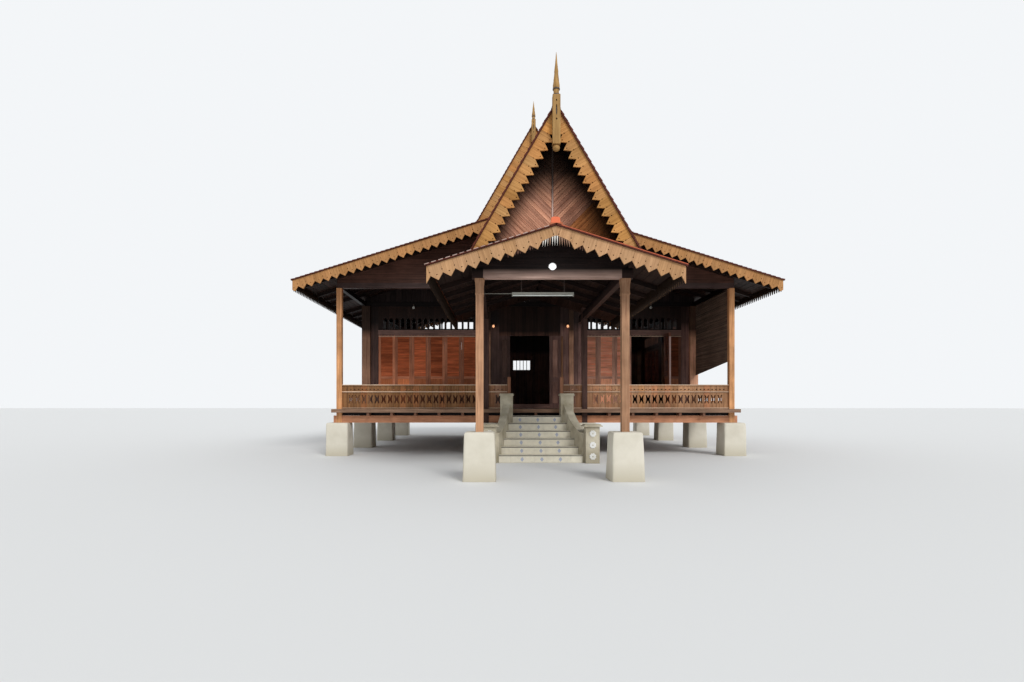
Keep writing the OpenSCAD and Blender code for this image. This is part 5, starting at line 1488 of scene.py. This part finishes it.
# %% Round lamp on the porch
enamel = plain("enamel", (0.24, 0.235, 0.2), 0.4)
white_glow = plain("white_glow", (0.97, 0.98, 1.0), 0.3, 1.0)
warm_glow = plain("warm_glow", (1.0, 0.48, 0.24), 0.3, 1.0)
clear_bulb = plain("clear_bulb", (0.62, 0.64, 0.6), 0.15)
round_lamp_at = (0, tympanum_y, 4.18)
base = [(0.082, 0), (0.082, 0.014), (0.064, 0.02)]
lathe("round_lamp_base", [turned(base, round_lamp_at, -Y_AXIS, 36)], white_plaster)
dome = [(0.07 * np.cos(a), 0.018 + 0.04 * np.sin(a)) for a in np.radians((0, 20, 40, 60, 75, 88))]
lathe("round_lamp_glass", [turned(dome, round_lamp_at, -Y_AXIS, 36)], white_glow)

# %% Tube below the porch beam
tube_y, tube_z = -7.60, 3.69
sticks("tube_housing", [(-0.78, tube_y, tube_z + 0.02), (-0.79, tube_y, tube_z), (0.43, tube_y, tube_z)],
       [(0.44, tube_y, tube_z + 0.02), (-0.77, tube_y, tube_z), (0.45, tube_y, tube_z)],
       [(0, 0.055, 0), (0, 0.05, 0), (0, 0.05, 0)], [(0, 0, 0.035), (0, 0, 0.08), (0, 0, 0.08)], enamel,
       94)
lathe("lamp_tube", [turned([(0.015, 0), (0.015, 1.2)], (-0.77, tube_y, tube_z - 0.018), X_AXIS, 16)],
      clear_bulb)


def rod(start, end):
    """A round rod of 12 mm from one point to another."""
    reach = np.subtract(end, start).astype(float)
    return turned([(0.006, 0), (0.006, np.linalg.norm(reach))], start, unit(reach), 10)


hangers = [rod((x, tube_y, 3.72), (x, tube_y, 4.16)) for x in (-0.6, 0.26)]
lathe("lamp_hangers", hangers, old_metal)
lathe("lamp_conduit", [rod((-1.36, tube_y, 3.705), (-0.79, tube_y, 3.705))], enamel)

# %% Lamps and bulbs on the front wall
lamp_at = np.array([(-1.255, 0.318, 4.2), (1.3, 0.318, 4.2)])
cup = [(0.05, 0), (0.05, 0.01), (0.02, 0.02), (0.012, 0.07)]
shade = [(0.012, 0.06), (0.03, 0.052), (0.055, 0.02), (0.06, 0.0), (0.052, -0.002)]
lathe("wall_lamps", [turned(cup, lamp_at, -Y_AXIS, 20), turned(shade, lamp_at - (0, 0.07, 0), Z_AXIS, 20)],
      old_metal)
bulb = [(0.012, 0.0), (0.02, -0.012), (0.04, -0.045), (0.043, -0.066), (0.032, -0.09), (0.01, -0.104)]
lathe("warm_bulbs", [turned(bulb, lamp_at + (0, -0.07, 0.012), Z_AXIS, 20)], warm_glow)
plain_at = np.array([(-4.0, 0.28, 4.86), (4.16, 0.28, 4.86)])
lathe("plain_bulbs", [turned(bulb, plain_at, Z_AXIS, 20)], clear_bulb)
lathe("bulb_sockets", [turned([(0.02, -0.012), (0.024, 0.0), (0.024, 0.05)], plain_at, Z_AXIS, 16),
                       turned([(0.012, 0.0), (0.012, 0.06)], plain_at + (0, 0, 0.035), Y_AXIS, 12)],
      old_metal)

# %% [markdown]
# The small window in the back wall has no leaf but four upright bars.

# %% Bars of the back window
# Painted shade: these browns, also on the wall posts, darken up towards the plate, darken towards the back
# to offset the sun that falls on the posts there, and darken on the left.
frame_upright = timber("frame_upright", (0.42, 0.2, 0.12), (0.86, 0.46, 0.285), "z", 0.5,
                       fade=(3.75, 4.05, 1.0, 0.12), depth=(0.5, 0.9, 1.0, 0.45),
                       breadth=(-3.0, 3.0, 0.42, 1.15))
bar_w, bar_l = 0.03, 0.44
bar_foot = [(x, back_y, 3.1) for x in np.linspace(-0.4, 0.4, 6)[1:-1]]
sticks("back_bars", bar_foot, np.add(bar_foot, (0, 0, bar_l)), (bar_w, 0, 0), (0, bar_w, 0), frame_upright,
       95)

# %% [markdown]
# ## Finishes for the pieces that stay
#
# The remaining pieces of the construction model keep their shape and only get a finish. They have no UV
# map, so each finish is measured from the object's axes, with the grain along the axis that the timber
# follows. A helper puts the finish on.

# %% Paint masonry
def paint(finish, *names):
    """The finish becomes the only material of these nodes."""
    for name in names:
        cad[name].data.materials.clear()
        cad[name].data.materials.append(finish)


cement_render = masonry("cement_render", (0.36, 0.31, 0.215), (0.64, 0.58, 0.45), (0.3, 0.26, 0.18), 0.35,
                        grit=90.0)
paint(flight_mortar, "stair_flight")
paint(cement_render, "stair_flank_left", "stair_flank_right")

# %% [markdown]
# The frame's timbers carry painted light and shade: they are lighter the more light they get. The porch
# beam is painted pale between its posts, where the round lamp lights it, and dark beyond them, in shade.
# The inner veranda posts are painted dark for their shade, and every beam close to the roof is painted
# nearly black for the roof's shade.

# %% Paint the frame
veranda_post = timber("veranda_post", (0.4, 0.175, 0.072), (0.78, 0.4, 0.185), "z", 0.55,
                      inner=(2.0, (0.045, 0.022, 0.018), (0.12, 0.062, 0.048)))
porch_beam = timber("porch_beam", (0.02, 0.011, 0.009), (0.06, 0.034, 0.028), "x", 0.5, 0.2,
                    inner=(1.36, (0.34, 0.215, 0.175), (0.66, 0.45, 0.37)), fade=(3.99, 4.14, 1.0, 0.03))
frame_along = timber("frame_along", (0.12, 0.066, 0.053), (0.34, 0.19, 0.15), "x", 0.5,
                     fade=(4.08, 4.2, 1.0, 0.04))
plate_timber = timber("plate_timber", (0.034, 0.02, 0.017), (0.09, 0.056, 0.05), "x", 0.5,
                      depth=(-2.5, -2.1, 1.0, 0.12))
sill_timber = timber("sill_timber", (0.12, 0.06, 0.045), (0.3, 0.165, 0.13), "x", 0.5)
paint(post_timber, "porch_posts")
paint(veranda_post, "veranda_posts")
paint(frame_upright, "wall_posts")
paint(door_timber, "door_frame")
paint(porch_beam, "porch_beams")
paint(plate_timber, "wall_plates")
paint(frame_along, "window_heads")
paint(sill_timber, "window_sills")

# %% Paint the floor
bearer_timber = timber("bearer_timber", (0.4, 0.16, 0.082), (0.66, 0.32, 0.18), "x", 0.6)
joist_timber = timber("joist_timber", (0.1, 0.045, 0.028), (0.24, 0.12, 0.075), "y", 0.6)
deck_timber = timber("deck_timber", (0.13, 0.07, 0.042), (0.34, 0.21, 0.14), "x", 0.6, joint_axis="Y",
                     joint=0.14)
paint(bearer_timber, "floor_bearers")
paint(joist_timber, "floor_joists")
paint(deck_timber, "veranda_deck", "house_floor")

# %% [markdown]
# Each boarded wall is one solid in the construction model, so its boards are drawn by the finish: a joint
# every 0.13 or 0.15 m, with a brown of its own for each board between two joints. The boards left of the
# door are painted darker than those on its right, and the front's boards darker towards the plate above:
# both are painted shade. The porch's tympanum is painted nearly black for its shade.

# %% Paint the walls
wall_front = timber("wall_front", (0.07, 0.028, 0.018), (0.2, 0.092, 0.062), "z", 0.42, joint_axis="X",
                    joint=0.128, fade=(3.8, 4.0, 1.0, 0.15))
door_boards = timber("door_boards", (0.1, 0.05, 0.04), (0.26, 0.145, 0.12), "z", 0.42, joint_axis="X",
                     joint=0.128, fade=(3.95, 4.3, 1.0, 0.15), breadth=(-0.5, 0.5, 0.55, 1.5))
wall_side = timber("wall_side", (0.06, 0.026, 0.017), (0.19, 0.085, 0.055), "z", 0.5, joint_axis="Y")
gable_plank = timber("gable_plank", (0.05, 0.022, 0.015), (0.15, 0.068, 0.048), "x", 0.5, joint_axis="Z")
tympanum_plank = timber("tympanum_plank", (0.012, 0.008, 0.008), (0.04, 0.026, 0.024), "x", 0.5,
                        joint_axis="Z")
paint(door_boards, "front_boards")
paint(wall_front, "front_clerestory", "back_wall")
paint(wall_side, "side_wall_left", "side_wall_right")
paint(gable_plank, "main_low_gables", "main_steep_gables", "porch_gable_wall")
paint(tympanum_plank, "porch_tympanum")

# %% [markdown]
# The railings are rows of fretwork boards 0.19 m wide, and a joint is drawn between two of them. The
# left railing is painted darker than the right one, a painted shade. The blind is split bamboo, drawn as
# joints 14 mm apart.

# %% Paint railings and blind
RAIL_STAINS = [(0.0, (1.0, 0.93, 0.82)), (0.5, (1.0, 1.0, 1.0)), (0.8, (1.0, 0.82, 0.74)),
               (1.0, (0.96, 0.92, 0.76))]
fret = {"joint": 0.19, "tints": RAIL_STAINS, "tone": 0.18}
left_railing = timber("left_railing", (0.13, 0.056, 0.022), (0.33, 0.165, 0.07), "z", 0.55, joint_axis="X",
                      joint_start=0.145, **fret)
right_railing = timber("right_railing", (0.24, 0.115, 0.057), (0.53, 0.295, 0.16), "z", 0.55, joint_axis="X",
                       joint_start=0.145, **fret)
stair_railing = timber("stair_railing", (0.16, 0.075, 0.042), (0.4, 0.22, 0.135), "z", 0.55, joint_axis="X",
                       joint_start=0.0425, **fret)
side_railing = timber("side_railing", (0.16, 0.075, 0.04), (0.42, 0.22, 0.125), "z", 0.55, joint_axis="Y",
                      joint_start=0.085, **fret)
split_bamboo = timber("split_bamboo", (0.14, 0.092, 0.066), (0.37, 0.26, 0.195), "y", 0.7, 0.2, 0.4,
                      joint_axis="Z", joint=0.014, joint_start=0.0)
paint(left_railing, "railing_front_left")
paint(right_railing, "railing_front_right")
paint(stair_railing, "railing_stair")
paint(side_railing, "railing_sides")
paint(split_bamboo, "side_screen")

# %% [markdown]
# ## Floor, light and background
#
# The house stands on a plain pale floor. The light is an even sky and one soft lamp from the front right,
# at a level at which a colour comes out about as it is written. What the camera sees behind the house
# is a plain pale tone of its own.

# %% Studio
def flat_finish(name, colour, rough):
    """One even colour."""
    finish, _, shader = open_finish(name)
    shader.inputs["Base Color"].default_value = (*colour, 1)
    shader.inputs["Roughness"].default_value = rough
    return finish


floor_mesh = bpy.data.meshes.new("studio_floor")
half_floor = 160
floor_mesh.from_pydata((half_floor * square).tolist(), [], [(0, 1, 2, 3)])
floor_mesh.materials.append(flat_finish("studio_floor", (0.78, 0.775, 0.76), 0.9))
studio_floor = bpy.data.objects.new("studio_floor", floor_mesh)
studio_floor.location.z = -0.002
bpy.context.collection.objects.link(studio_floor)

soft_sun = bpy.data.lights.new("soft_sun", "SUN")
soft_sun.energy = 1.6
soft_sun.angle = np.radians(22)
sun_stand = bpy.data.objects.new("soft_sun", soft_sun)
sun_stand.rotation_euler = (np.radians(54), 0, np.radians(26))
bpy.context.collection.objects.link(sun_stand)

sky = bpy.data.worlds.new("studio_sky")
sky.use_nodes = True
tree = sky.node_tree
ray = add(tree, "ShaderNodeLightPath")
seen = sums(tree, "MAXIMUM", ray.outputs["Is Camera Ray"], ray.outputs["Is Glossy Ray"])
seen = sums(tree, "MAXIMUM", seen, ray.outputs["Is Transmission Ray"])
light = add(tree, "ShaderNodeBackground", {"Color": (0.92, 0.96, 1.0, 1), "Strength": 0.72})
backdrop = add(tree, "ShaderNodeBackground", {"Color": (0.9, 0.92, 0.94, 1), "Strength": 1.0})
both = add(tree, "ShaderNodeMixShader")
tree.links.new(seen, both.inputs[0])
tree.links.new(light.outputs[0], both.inputs[1])
tree.links.new(backdrop.outputs[0], both.inputs[2])
tree.links.new(both.outputs[0], tree.nodes["World Output"].inputs["Surface"])
bpy.context.scene.world = sky
bpy.context.scene.view_settings.view_transform = "Standard"
print("studio ready")
